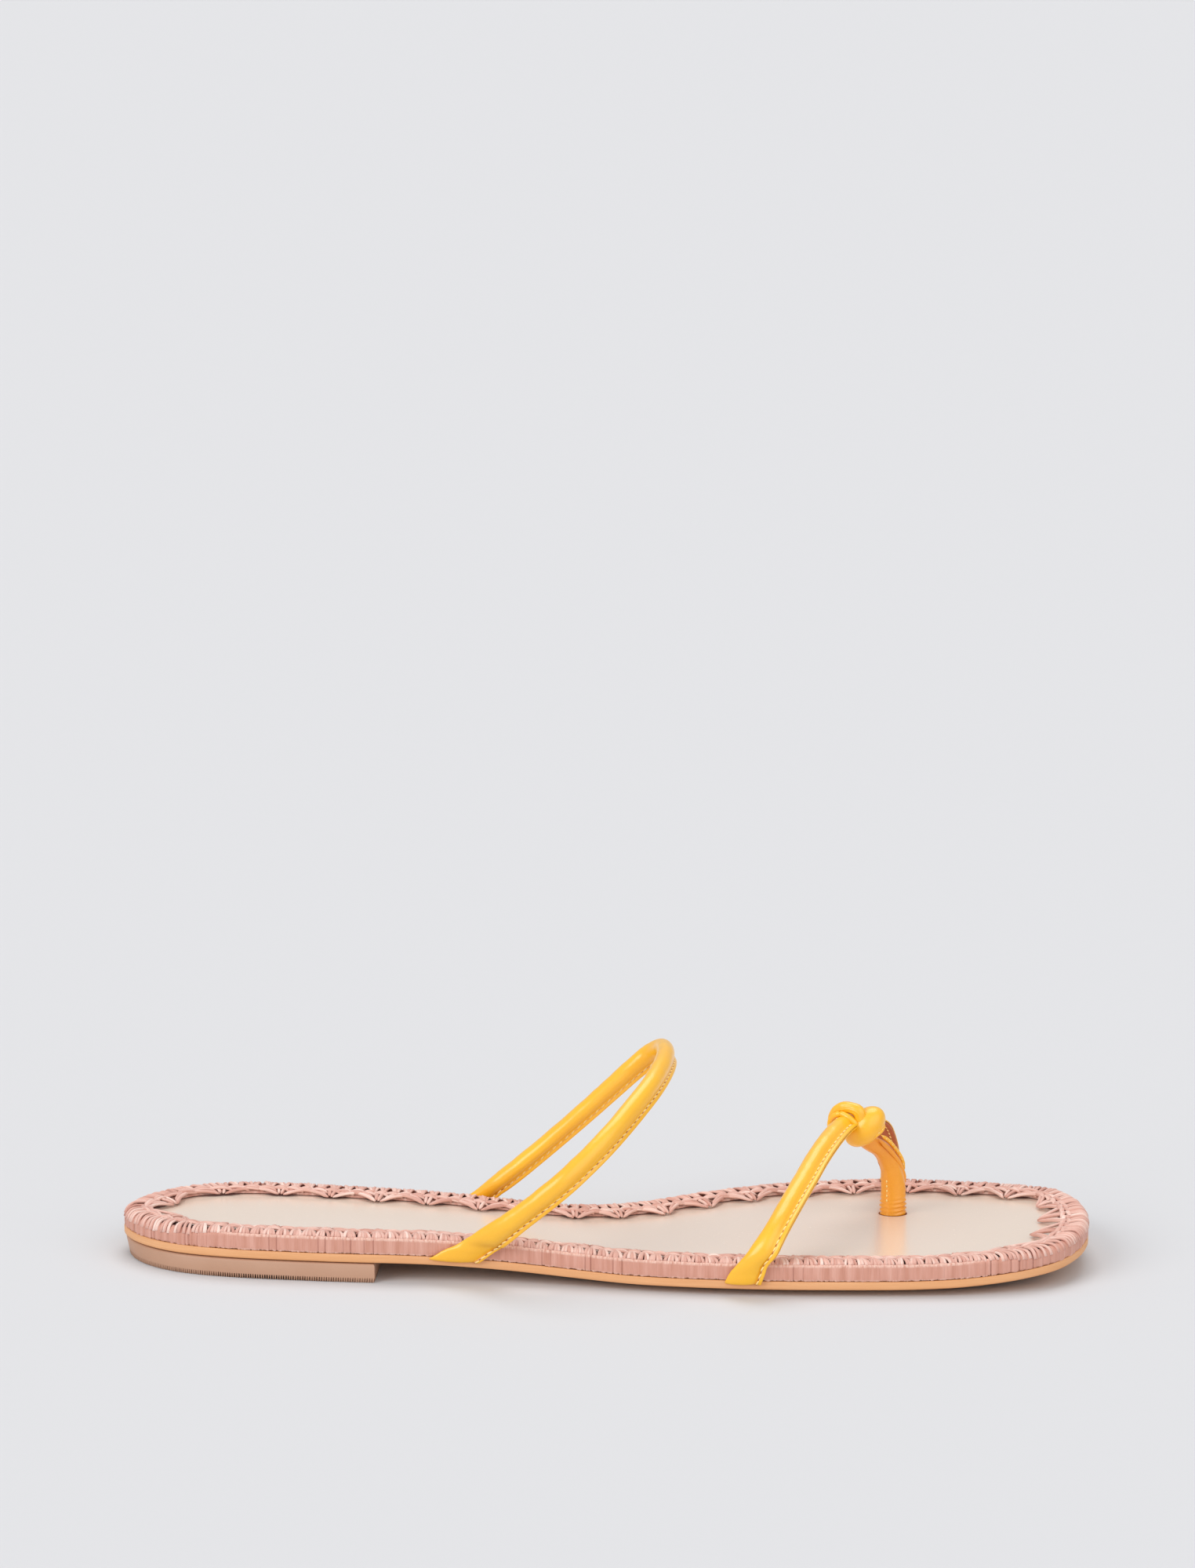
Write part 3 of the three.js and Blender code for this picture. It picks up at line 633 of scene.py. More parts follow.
def build_heel():
    """The heel block, with the ribs of its tread showing as fine teeth along the bottom edge."""
    top = HEEL_THICKNESS - SEAM
    levels = [(2.4, 0.0), (0.35, 0.0), (0.0, 0.5), (0.0, 1.4)]
    levels += [(inset, top - drop) for inset, drop in ((0.0, 0.5), (0.2, 0.12), (0.5, 0.0))]
    rings = []
    for inset, height in levels:
        outer, inner = (side_line(side, inset, 1100, HEEL_LENGTH - inset) for side in (-1, 1))
        breast = outer[-1] + (inner[-1] - outer[-1]) * np.linspace(0, 1, 240)[1:-1, None]
        ring = np.vstack([outer, breast, inner[::-1]])
        (slope, slope_reach), (setback, setback_reach) = HEEL_BACK_SLOPE, HEEL_BACK_SETBACK
        slope = slope * np.exp(-ring[:, 0] / slope_reach) * (1 - height / top)
        ring[:, 0] += setback * np.exp(-ring[:, 0] / setback_reach) + slope
        ring[:, 2] = height
        rings.append(ring)
    rings = np.stack(rings)
    gap = (travelled(rings[3]) / TREAD_PITCH) % 1.0 < RIB_GAP_SHARE
    rings[:2, gap, 2] = RIB_GAP_HEIGHT
    rings[2, :, 2] = np.where(gap, RIB_GAP_HEIGHT + 0.1, RIB_CHAMFER)
    count = rings.shape[1]
    side = grid_quads(len(levels), count, ring_columns=True)
    places = np.vstack([rings.reshape(-1, 3), rings[0].mean(axis=0) * (1, 1, 0), rings[-1].mean(axis=0)])
    index = np.arange(count)
    following = (index + 1) % count
    last = (len(levels) - 1) * count
    floor = np.stack([index, np.full(count, len(places) - 2), following], axis=1)
    ceiling = np.stack([index + last, following + last, np.full(count, len(places) - 1)], axis=1)
    faces = np.vstack([side[:, [0, 1, 2]], side[:, [0, 2, 3]], floor, ceiling])
    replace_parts(make_piece("heel_block", places, faces, HEEL), "heel")


# Raffia trim


def end_share(x):
    """How far round the heel's or the toe's end a place is, from 0 along the sides to 1."""
    return smoothstep(np.abs(x / LENGTH - 0.5), 0.36, 0.455)


def corner_radius(x):
    """The wound edge is round at heel and toe and squarer along the sides."""
    return 0.55 + 1.75 * end_share(x)


def corner_height(inset, radius):
    """Height of the wound edge above the insole's base, at an inset from its wall."""
    return WALL_HEIGHT - radius + np.sqrt(radius ** 2 - np.maximum(radius - inset, 0) ** 2)


# Places under the wound edge and on its top behind the rounded corner, as inset and height
WRAP_UNDER = [(1.7, -0.12), (0.5, -0.16), (0.1, -0.1), (0.0, 0.25)]
WRAP_BEHIND = [(1.2, 3.9), (2.4, 3.5), (3.4, 3.3)]
# The least and greatest width of a turn of raffia, the greatest for the last one, which closes the
# ring, and the places along the sole between which the narrower turns round the heel give way
TURN_WIDTHS = (1.2, 3.4)
LAST_TURN = 3.0
HEEL_TURNS = (22.0, 48.0)
JOINT_WIDTH = 0.16


def build_wrap():
    """The wall of raffia wound over the insole's edge, in strands of uneven width."""
    count = 3400
    fan = np.arange(count) * FAN_COUNT / count
    edge = on_trim(fan, np.zeros(count), np.zeros(count))
    far = travelled(np.vstack([edge, edge[:1]]))
    total, far = far[-1], far[:-1]
    starts = [0.0]
    while starts[-1] < total - LAST_TURN:
        heel_share = 1 - smoothstep(np.interp(starts[-1], far, edge[:, 0]), *HEEL_TURNS)
        starts.append(starts[-1] + rng.uniform(*TURN_WIDTHS) * (1 - 0.55 * heel_share))
    starts = np.array(starts)
    strand = np.searchsorted(starts, far, side="right") - 1
    ends = np.append(starts[1:], total)
    from_joint = np.minimum(far - starts[strand], ends[strand] - far)
    joint = np.exp(-((from_joint / JOINT_WIDTH) ** 2))
    lift = rng.uniform(-0.05, 0.06, len(starts))[strand]
    at_end = end_share(edge[:, 0])
    radius = corner_radius(edge[:, 0])
    depths = rng.uniform(0.02, 0.14, len(starts)) + 0.4 * (rng.uniform(0, 1, len(starts)) < 0.12)
    depth = depths[strand] * (1 + 1.8 * at_end)
    ragged = 0.15 * wavy(far, 1.6, 3) + 0.1 * wavy(far, 5.0, 4)
    ragged = ragged - 0.25 * at_end * (rng.uniform(0, 1, len(starts)) < 0.25)[strand]
    top_fray = 0.05 * wavy(far, 1.2, 5) + 0.06 * wavy(far, 4.0, 6)
    profile = [(np.full(count, inset), np.full(count, height)) for inset, height in WRAP_UNDER]
    foot = WRAP_UNDER[-1][1]
    profile += [(0 * far, foot + (WALL_HEIGHT - radius - foot) * part) for part in (0.25, 0.5, 0.75, 1)]
    for turn in np.radians((18, 36, 54, 72, 90)):
        profile.append((radius * (1 - math.cos(turn)), WALL_HEIGHT - radius * (1 - math.sin(turn))))
    for k, (inset, height) in enumerate(WRAP_BEHIND):
        profile.append((np.maximum(inset, radius + 0.1 * k), np.full(count, height)))
    rows, coordinates = [], []
    run = -WRAP_UNDER[0][0]
    before = profile[0]
    sink = np.maximum(depth * joint - lift * 0.7, -0.02) + 0.02
    for inset, height in profile:
        run = run + np.hypot(inset - before[0], height - before[1])
        before = (inset, height)
        low, high = height < 0.6, np.abs(height - WALL_HEIGHT) < 0.3
        frayed = np.where(low, ragged, 0)
        height_here = height + frayed + np.where(high, top_fray * (1 - at_end), 0)
        rows.append(on_trim(fan, inset + sink * (inset < 2.3), height_here - sink * at_end * (inset > 0.3)))
        shown = run * (1 - at_end) + (0.5 + 0.3 * run) * at_end
        coordinates.append(np.stack([shown + frayed, far], axis=1))
    quads = grid_quads(len(profile), count, ring_columns=True)[:, ::-1]
    piece = make_piece("raffia_wrap", np.stack(rows), quads, RAFFIA_WALL, np.stack(coordinates))
    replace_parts(piece, "raffia_edge")


# Sections of the trim's ground, a dark sheet of painted shade, and of the turns behind its braid, as inset
# and height
GROUND_PROFILE = [(1.6, 3.3), (4.0, 3.35), (5.6, 3.3), (6.2, 3.05), (6.4, 2.7), (1.6, 2.7)]
INNER_TURNS_PROFILE = [(5.5, 3.7), (6.0, 3.65), (6.35, 3.4), (6.45, 3.1), (6.3, 2.72)]


def make_trim_ring(name, profile, material, closed):
    """A band all round the trim with a section of inset and height."""
    count = 1200
    fan = np.arange(count) * FAN_COUNT / count
    places = np.stack([on_trim(fan, inset, height) for inset, height in profile])
    quads = grid_quads(len(profile), count, ring_rows=closed, ring_columns=True)
    across, along = np.arange(len(profile))[:, None] * 2.0, np.arange(count)[None] * 0.5
    uv = np.stack(np.broadcast_arrays(across, along), axis=-1)
    make_piece(name, places, quads[:, ::-1], material, uv)


def build_trim_ground():
    """The ground under braid and wraps, a dark sheet of painted shade seen only through the small holes
    between them, and the turns behind the braid.
    """
    # Painted shade: the ground's dark raffia stands in for the shade under braid and wraps
    make_trim_ring("raffia_ground_shade", GROUND_PROFILE, RAFFIA_PAINTED_SHADE, True)
    make_trim_ring("raffia_inner_turns", INNER_TURNS_PROFILE, RAFFIA, False)


STITCH_COUNT = FAN_COUNT * STITCHES_PER_FAN
STITCH_SHARE = 1 / STITCHES_PER_FAN
TURNS_PER_STITCH = (-0.4, -0.14, 0.13, 0.39)


def build_over_wraps():
    """Strands over the top, which each stitch gathers from the wrapped edge to the braid."""
    steps = 11
    share = np.linspace(0, 1, steps)
    paths, widths, heights = [], [], []
    for stitch_index in range(STITCH_COUNT):
        middle = (stitch_index + 0.5) * STITCH_SHARE + rng.normal(0, 0.01)
        gather = rng.uniform(0.12, 0.3)
        slew = rng.normal(-0.06, 0.02)
        here = on_trim(np.array([middle]), np.zeros(1), np.zeros(1))[0, 0]
        radius, at_end = corner_radius(here), end_share(here)
        for offset in TURNS_PER_STITCH:
            spread = offset + rng.normal(0, 0.04)
            start = middle + spread * STITCH_SHARE
            gathered = gather + (0.75 - gather) * at_end
            end = middle + spread * gathered * STITCH_SHARE + slew
            first = 0.7 - 0.62 * at_end
            inset = first + (5.4 - first) * share
            swell = 0.62 * np.sin(math.pi * share ** 0.75) * (1 - 0.35 * at_end) + 0.4 * share
            rise = corner_height(inset, radius) - 0.2 + swell + rng.normal(0, 0.07)
            fan = start + (end - start) * share ** 1.2
            paths.append(on_trim(fan, inset, rise))
            widths.append((1.02 - 0.2 * share) * rng.uniform(0.85, 1.12))
            heights.append(np.full(steps, rng.uniform(0.6, 0.85)))
    make_strands("raffia_over_wraps", RAFFIA, paths, widths, heights)


def build_braid():
    """The chain of stitches: two legs for each, laid over the one before."""
    share = np.linspace(0, 1, 10)
    bulge = np.sin(math.pi * share)
    paths, widths, heights = [], [], []
    for stitch_index in range(STITCH_COUNT):
        middle = (stitch_index + 0.5) * STITCH_SHARE - 0.075 + rng.normal(0, 0.006)
        for hand in (-1, 1):
            fan = middle + STITCH_SHARE * 1.5 * (share - 0.35)
            inset = BRAID_INSET + hand * (0.95 * (1 - share) ** 0.8 + 0.1) + rng.normal(0, 0.05)
            rise = BRAID_HEIGHT + 0.55 * bulge - 0.5 * (1 - share) ** 3 + rng.normal(0, 0.04)
            paths.append(on_trim(fan, inset, rise))
            widths.append((0.7 + 0.75 * bulge) * rng.uniform(0.9, 1.12))
            heights.append((0.45 + 0.4 * bulge) * rng.uniform(0.9, 1.1))
    make_strands("raffia_braid", RAFFIA, paths, widths, heights)


# The dark sheet of painted shade in each fan's hollow: shares of a fan from its tip, and insets
HOLLOW_CORNERS = [(-0.34, 6.2), (0.34, 6.2), (0.14, 8.0), (-0.14, 8.0)]


def build_fans():
    """Crocheted fans: two doubled strands from the braid to each point and short ones between."""
    steps = 12
    share = np.linspace(0, 1, steps)
    ends = np.minimum(1, 4.5 * np.minimum(share + 0.08, 1.08 - share))
    paths, widths, heights, twists = [], [], [], []

    def lay(start, end, width, height, rise, bow=0.0, arch=0.3):
        (fan_a, inset_a), (fan_b, inset_b) = start, end
        jitter = rng.normal(0, 0.008, 2)
        fan = (fan_a + jitter[0]) * (1 - share) + (fan_b + jitter[1] * 0.5) * share
        inset = inset_a * (1 - share) + inset_b * share + bow * np.sin(math.pi * share)
        up = rise[0] * (1 - share) + rise[1] * share + arch * np.sin(math.pi * share) + rng.normal(0, 0.04)
        paths.append(on_trim(fan, inset, up))
        widths.append(width * ends * rng.uniform(0.88, 1.14))
        heights.append(height * ends * rng.uniform(0.92, 1.1))
        twists.append(rng.uniform(-0.3, 0.3) * (share - 0.5))

    tips = np.arange(FAN_COUNT) + FAN_PHASE + rng.normal(0, 0.015, FAN_COUNT)
    reaches = np.interp(tips, *zip(*FAN_REACHES)) + rng.normal(0, 0.2, FAN_COUNT)
    for tip, reach in zip(tips, reaches):
        for hand in (-1, 1):
            lay((tip + hand * 0.5, 6.3), (tip + hand * 0.045, reach - 0.2), 1.15, 0.8, (4.1, 3.2), -0.1, 0.3)
            lay((tip + hand * 0.44, 5.6), (tip + hand * 0.12, reach - 1.6), 0.9, 0.75, (4.2, 3.6), 0, 0.3)
        lay((tip - 0.05, 5.9), (tip - 0.015, reach - 0.05), 0.95, 0.8, (4.25, 3.35))
        lay((tip + 0.07, 5.9), (tip + 0.03, reach - 0.5), 0.9, 0.75, (4.2, 3.4))
        valley = tip - 0.5
        lay((valley - 0.13, 6.7), (valley + 0.13, 6.3), 1.1, 0.85, (3.9, 4.1), 0.2, 0.2)
    make_strands("raffia_fans", RAFFIA, paths, widths, heights, twists=twists)
    # A dark sheet of painted shade under the hollow of each fan
    hollow = np.stack([on_trim(tips + offset, inset, 2.74) for offset, inset in HOLLOW_CORNERS], axis=1)
    quads = np.arange(FAN_COUNT * 4).reshape(-1, 4)
    uv = np.zeros((FAN_COUNT * 4, 2)) + np.arange(FAN_COUNT * 4)[:, None] * 0.7
    make_piece("raffia_hollow_shade", hollow, quads, RAFFIA_PAINTED_SHADE, uv)


# Straps

SIDE_LINES = {side: side_line(side, 0, 1600) for side in (-1, 1)}


def edge_at(side, x):
    """The insole's edge at a distance from the heel's back: place, and ways forward, out and down."""

    def spot(at):
        line = SIDE_LINES[side]
        return np.array([at, np.interp(at, line[:, 0], line[:, 1]), float(outsole_top(at))])

    point = spot(x)
    forward = unit(point - spot(x - 4.0))
    out = unit(np.array([-side * forward[1], side * forward[0], 0]))
    down = -side * np.cross(forward, out)
    return point, forward, out, down


def end_rows(tab):
    """Rows of a strap's end, from under the insole out and up over its edge."""
    back = math.tan(math.radians(tab.lean)) * FOOTBED_THICKNESS
    foot, side, crest = (edge_at(tab.side, tab.station - back * share) for share in (1, 0.5, 0))
    half = TAB_THICKNESS / 2
    corner = (SEAM + half) * math.sqrt(0.5)
    side_height = (TAB_THICKNESS + FOLD_HEIGHT) / 2

    def row(edge, gap, above, out, height, width=tab.width):
        point, forward, outward, down = edge
        centre = point + outward * gap - down * above
        return Row(centre, forward, out, (width - FLANGE_WIDTH) / 2, height, FLANGE_WIDTH)

    return [
        row(foot, -TAB_DEPTH, -half, foot[3], TAB_THICKNESS),
        row(foot, -EDGE_ROUND, -half, foot[3], TAB_THICKNESS),
        row(foot, corner, SEAM - corner, unit(foot[2] + foot[3]), TAB_THICKNESS),
        row(side, SEAM + side_height / 2, SEAM + FOOTBED_THICKNESS / 2, side[2], side_height),
        row(crest, SEAM + FOLD_HEIGHT / 2, SEAM + FOOTBED_THICKNESS, crest[2], FOLD_HEIGHT, tab.crest),
    ]


def strap_rows(strap, table, place, toes_between):
    """All rows of a strap, and those of its free part alone, whose places and widths a table gives."""
    start = end_rows(TABS[strap + "_outer"])
    finish = end_rows(TABS[strap + "_inner"])[::-1]
    outer, inner = start[-1].centre, finish[0].centre
    toes = unit(toes_between(outer, inner))
    centres = [outer, *(place(outer, inner, *row[:-1]) for row in table), inner]
    arch = []
    for k, row in enumerate(table):
        wide = row[-1]
        tangent = unit(centres[k + 2] - centres[k])
        across = unit(toes - tangent * np.dot(toes, tangent))
        half = (ARM_WIDTH * wide - FLANGE_WIDTH) / 2
        out = np.cross(across, tangent)
        arch.append(Row(centres[k + 1], across, out, half, STRAP_HEIGHT / wide, FLANGE_WIDTH))
    arch[0] = turned_between(arch[0], start[-1], arch[1])
    arch[-1] = turned_between(arch[-1], finish[0], arch[-2])
    return [*start, *arch, *finish], arch


def turned_between(row, before, after):
    """A row turned halfway between its neighbours."""
    across = unit(before.across + after.across)
    return row._replace(across=across, out=unit(before.out + after.out))


def instep_rows():
    """The rows of the loop over the instep, which rises along a leaning direction."""
    lean = math.radians(INSTEP_LEAN)
    rise = np.array([math.sin(lean), 0, math.cos(lean)]) * INSTEP_RISE

    def place(outer, inner, across, up):
        return outer + (inner - outer) * across + rise * up

    return strap_rows("instep", INSTEP_ROWS, place, lambda outer, inner: np.cross(inner - outer, rise))


def toe_rows():
    """The rows of the strap over the toes, which rises straight up."""
    base = float(footbed_base(TOE_FRONT)) + FOOTBED_THICKNESS

    def place(outer, inner, along, across, up):
        x, y = (outer + (inner - outer) * (along, across, 0))[:2]
        return np.array([x, y, base + TOE_RISE * up])

    def toes_between(outer, inner):
        return np.cross((inner - outer) * (1, 1, 0), (0, 0, 1))

    return strap_rows("toe", TOE_ROWS, place, toes_between)


def fine_rows(rows):
    """Rows drawn out finely along a strap, as arrays of centres, directions and sizes."""
    turns = np.linspace(0, 1, (len(rows) - 1) * STEPS_PER_ROW + 1)
    centre = curve_points([row.centre for row in rows], turns)
    kernel = np.hanning(2 * STEPS_PER_ROW + 1)
    kernel /= kernel.sum()

    def drawn(values):
        line = np.interp(turns * (len(rows) - 1), np.arange(len(rows)), values)
        return np.convolve(np.pad(line, STEPS_PER_ROW, mode="edge"), kernel, mode="valid")

    def directions(name):
        vectors = np.array([getattr(row, name) for row in rows])
        return unit(np.stack([drawn(vectors[:, k]) for k in range(3)], axis=1))

    sizes = [drawn([getattr(row, name) for row in rows]) for name in ("half", "height", "flange")]
    across, out = directions("across"), directions("out")
    across = unit(across - out * (across * out).sum(axis=1, keepdims=True))
    return centre, across, out, unit(np.gradient(centre, axis=0)), sizes


TUBE_ANGLES = np.radians(np.linspace(20, 340, 34))
SEAM_OFFSET = 0.34
STEPS_PER_ROW = 12
CREASE_REACH = 9.0
LINING_START = 0.56


def strap_section(half, height, flange):
    """A strap's section: a round tube and, level with its middle, the flange that closes it."""
    lip = min(FLANGE_THICKNESS / 2, height * 0.4)
    tube = np.stack([half * np.cos(TUBE_ANGLES), height / 2 * np.sin(TUBE_ANGLES)], axis=1)
    edge = half + flange
    side = [
        (half + 0.02, 0.72 * lip),
        (half + 0.22, 0.8 * lip),
        (half + 0.55, lip),
        (edge - 0.4, lip),
        (edge - 0.1, 0.9 * lip),
        (edge, 0.7 * lip),
        (edge + 0.03, 0.2 * lip),
    ]
    under = [(x, -y) for x, y in reversed(side)]
    outline = np.vstack([tube, under, side])
    outline[:, 0] -= flange / 2
    return outline


def build_strap(name, rows, crease_seed, lined_from=None):
    """A strap's skin, the cut edge of its flange, its lining from a row on, and its stitches."""
    centre, across, out, tangent, (half, height, flange) = fine_rows(rows)
    far = travelled(centre)
    outlines = np.stack([strap_section(h, t, f) for h, t, f in zip(half, height, flange)])
    columns = outlines.shape[1]
    tube_count = len(TUBE_ANGLES)
    near_end = np.exp(-np.minimum(far, far[-1] - far) / CREASE_REACH)
    folds = wavy(far, 0.5, crease_seed)[:, None] * np.cos(2 * TUBE_ANGLES)[None] * 0.025
    folds = folds + wavy(far, 1.3, crease_seed + 1)[:, None] * (0.006 + 0.03 * near_end[:, None])
    outlines[:, :tube_count] *= 1 + folds[..., None]
    places = centre[:, None] + across[:, None] * outlines[..., :1] + out[:, None] * outlines[..., 1:]
    quads = grid_quads(len(centre), columns, ring_columns=True)
    piece = make_piece(name + "_skin", places, quads, STRAP)
    row, column = np.divmod(np.arange(len(quads)), columns)
    piece.data.materials.append(LINING)
    piece.data.materials.append(CUT_EDGE)
    kinds = np.zeros(len(quads), int)
    if lined_from is not None:
        lined = (column > LINING_START * tube_count) & (column < tube_count + 4)
        kinds[lined & (row >= lined_from * STEPS_PER_ROW)] = 1
    kinds[(column >= tube_count + 4) & (column < columns - 5)] = 2
    piece.data.polygons.foreach_set("material_index", kinds)
    piece.data.update()
    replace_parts(piece, name)
    for face, label in ((1, "outer"), (-1, "inner")):
        lip = np.minimum(FLANGE_THICKNESS / 2, height * 0.4) * 0.86
        line = centre + across * (half - flange / 2 + SEAM_OFFSET)[:, None] + out * (face * lip)[:, None]
        stitch(f"{name}_{label}", line, across, out * face, tangent)


STITCH_PITCH = 2.1
STITCH_LENGTH = 1.55
STITCH_WIDTH = 0.46
HOLE_HALVES = (0.34, 0.22)
# The dark line beside the tube, painted shade between tube and flange: shifts across the flange and heights
# above its face
SEAM_SHADE_BAND = [(-0.36, 0.09), (-0.06, 0.03), (0.1, 0.02)]


def stitch(name, line, across, out, tangent):
    """A row of slanting stitches along a line beside the tube, with a needle hole between each two as a dark
    disc of painted shade, and a dark band of painted shade beside the tube.
    """
    far = travelled(line)
    unsewn = TAB_DEPTH + 0.9
    starts = np.arange(unsewn, far[-1] - unsewn, STITCH_PITCH)
    share = np.linspace(0, 1, 6)
    spots = starts[:, None] + STITCH_LENGTH * share
    bulge = np.sin(math.pi * share) ** 0.5
    rise = at_distances(out, far, spots)
    slant = at_distances(across, far, spots) * (0.3 * (share - 0.5))[None, :, None]
    paths = at_distances(line, far, spots) + rise * (0.14 * bulge - 0.04)[None, :, None] + slant
    width = np.maximum(STITCH_WIDTH * bulge, 0.08)
    make_strands(name + "_stitches", THREAD, paths, width, width * 0.8, 6, up=rise)
    # Dark discs at the needle holes, painted shade in them
    holes = starts - (STITCH_PITCH - STITCH_LENGTH) / 2
    spot, ahead, aside, above = (at_distances(v, far, holes) for v in (line, tangent, across, out))
    ring = rings_round(spot + above * 0.05, ahead, aside, turns_round(8), *HOLE_HALVES)
    faces = np.array([(0, 1, 2, 3), (0, 3, 4, 7), (4, 5, 6, 7)])
    quads = (faces[None] + (np.arange(len(holes)) * 8)[:, None, None]).reshape(-1, 4)
    make_piece(name + "_needle_holes", ring, quads, NEEDLE_HOLE_SHADE)
    # A band of painted shade beside the tube, under the stitches
    edges = [line + across * shift + out * lift for shift, lift in SEAM_SHADE_BAND]
    make_piece(name + "_seam", np.stack(edges), grid_quads(len(edges), len(line)), SEAM_SHADE)


# Knot and post


# Places on the knot from its middle: the wide fold and the narrow band with their thickness, and
# the stitched collar
WIDE_FOLD = [
    (-4.6, 3.4, -1.2, 2.4), (-6.8, 1.8, -0.2, 2.2), (-7.5, -0.2, 2.0, 1.9), (-6.2, -1.2, 4.6, 2.6),
    (-4.4, -2.1, 5.6, 3.0), (-2.3, -3.1, 5.7, 3.1), (-0.5, -3.7, 4.9, 3.3), (0.0, -3.7, 3.0, 3.2),
    (0.3, -3.0, 1.0, 2.6),
]
NARROW_BAND = [
    (-5.2, 1.4, -1.8, 1.2), (-7.5, -0.4, -1.3, 1.1), (-8.0, -1.7, 0.2, 1.1), (-7.8, -2.2, 2.2, 1.3),
    (-6.6, -2.8, 3.6, 1.5), (-5.0, -3.6, 4.2, 1.6), (-3.2, -4.5, 3.6, 1.7), (-1.7, -5.1, 2.5, 1.6),
    (-0.8, -5.1, 1.3, 1.2),
]
COLLAR = [(5.9, -1.5, 2.0), (5.8, -2.5, 0.2), (4.6, -3.8, -0.9), (2.9, -4.0, -1.9), (1.5, -3.2, -3.4)]


# The egg's half lengths along, toward the near side and across, and its place from the knot's middle
EGG_HALVES = (6.3, 4.6, 4.2)
EGG_PLACE = (1.0, -1.5, 0.2)


def build_egg(middle):
    """The knot's smooth fold, an egg that leans up toward the toes."""
    rows, columns = 40, 56
    lat = np.linspace(0.02, math.pi - 0.02, rows)[:, None]
    lon = turns_round(columns)[None]
    ways = (np.sin(lat) * np.cos(lon), np.sin(lat) * np.sin(lon), np.cos(lat))
    ways = np.stack(np.broadcast_arrays(*ways), axis=-1)
    long_way = unit(np.array([0.7, 0.0, 0.72]))
    near_way = np.array([0.0, -1.0, 0.0])
    axes = np.stack([long_way, near_way, np.cross(near_way, long_way)]) * np.array(EGG_HALVES)[:, None]
    places = (ways * (1 + 0.05 * ways[..., :1])) @ axes + middle + np.array(EGG_PLACE)
    make_tube("knot_fold", places, STRAP)


def build_roll(name, middle, table, grooves=(), pleat=None):
    """A roll of leather through the places of a table, grooved along at angles round its section."""
    steps, sides = 80, 40
    share = np.linspace(0, 1, steps)
    table = np.array(table)
    path = middle + curve_points(table[:, :3], share)
    thick = np.interp(share, np.linspace(0, 1, len(table)), table[:, 3])
    thick = thick * (1 + 0.035 * wavy(share * 12, 1.2, 21))
    if pleat is not None:
        thick = thick * (1 - 0.22 * np.exp(-(((share - pleat) / 0.018) ** 2)))
    tangent = unit(np.gradient(path, axis=0))
    side = unit(np.cross((0, -1, 0), tangent))
    angle = turns_round(sides)
    relief = np.ones(sides)
    for spot in grooves:
        away = np.angle(np.exp(1j * (angle - math.radians(spot))))
        relief = relief - 0.1 * np.exp(-((away / 0.12) ** 2))
    size = thick[:, None] / 2 * relief[None]
    places = rings_round(path, side, np.cross(tangent, side), angle, size, size)
    make_tube(name, places, STRAP)


def make_cord(name, points, width, height, material):
    """A flattened cord through points."""
    share = np.linspace(0, 1, 60)
    path = curve_points(points, share)
    taper = np.minimum(1, 6 * np.minimum(share + 0.04, 1.04 - share))[None]
    make_strands(name, material, path[None], width * taper, height * taper, 10, up=(0, -1, 0.3))
    return path


def make_dashes(name, path, pitch, length, width, lift):
    """Short stitches along a line, raised toward a side."""
    far = travelled(path)
    starts = np.arange(0.4, far[-1] - length, pitch)
    share = np.linspace(0, 1, 5)
    bulge = np.sin(math.pi * share) ** 0.5
    places = at_distances(path, far, starts[:, None] + length * share)
    places = places + np.asarray(lift) * (0.5 + 0.5 * bulge)[None, :, None]
    thick = np.maximum(width * bulge, 0.06)
    make_strands(name, THREAD, places, thick, thick * 0.8, 6, up=(0, -1, 0.2))


def build_knot(arch):
    """The knot: a smooth fold of leather, a roll and a band round the outer arm, and a stitched collar."""
    middle = arch[FOLD_ROW].centre + np.array(KNOT_PLACE)
    build_egg(middle)
    build_roll("knot_roll", middle, WIDE_FOLD, grooves=(58, 84, 112))
    build_roll("knot_band", middle, NARROW_BAND, pleat=0.6)
    path = make_cord("knot_collar", middle + np.array(COLLAR), 1.2, 0.9, STRAP)
    make_dashes("knot_collar_stitches", path, 1.5, 0.8, 0.4, (0, -0.42, 0.12))
    return middle


# Pleats that run from the knot down behind the post, as places from the knot's middle
NEAR_PLEAT = [
    (4.9, 1.6, -3.8), (7.4, 4.0, -6.9), (9.8, 6.6, -10.4), (11.2, 9.0, -14.0), (11.9, 10.4, -17.4),
]
FAR_PLEAT = [
    (5.4, 2.5, -2.8), (7.4, 5.0, -4.9), (9.1, 7.5, -7.5), (10.7, 10.0, -10.6), (11.7, 12.0, -14.2),
]

# The post's width at shares of its length from the foot
POST_WIDTHS = [(0.0, 7.1), (0.06, 6.8), (0.35, 6.4), (0.5, 5.5), (0.62, 4.8), (0.8, 4.3), (1.0, 4.3)]
# Where its seam lies round it, and the heights above the insole between which it is sewn
POST_SEAM_TURN = 0.835
POST_SEWN = (3.2, 10.8)
# The height above the insole about which it creases, how deep, and the dark rim of its slot, a ring of
# painted shade where the post goes in
CREASE_HEIGHT = 2.4
CREASE_DEPTH = 0.3
SLOT_SHADE_RIM = (-0.3, 0.45)


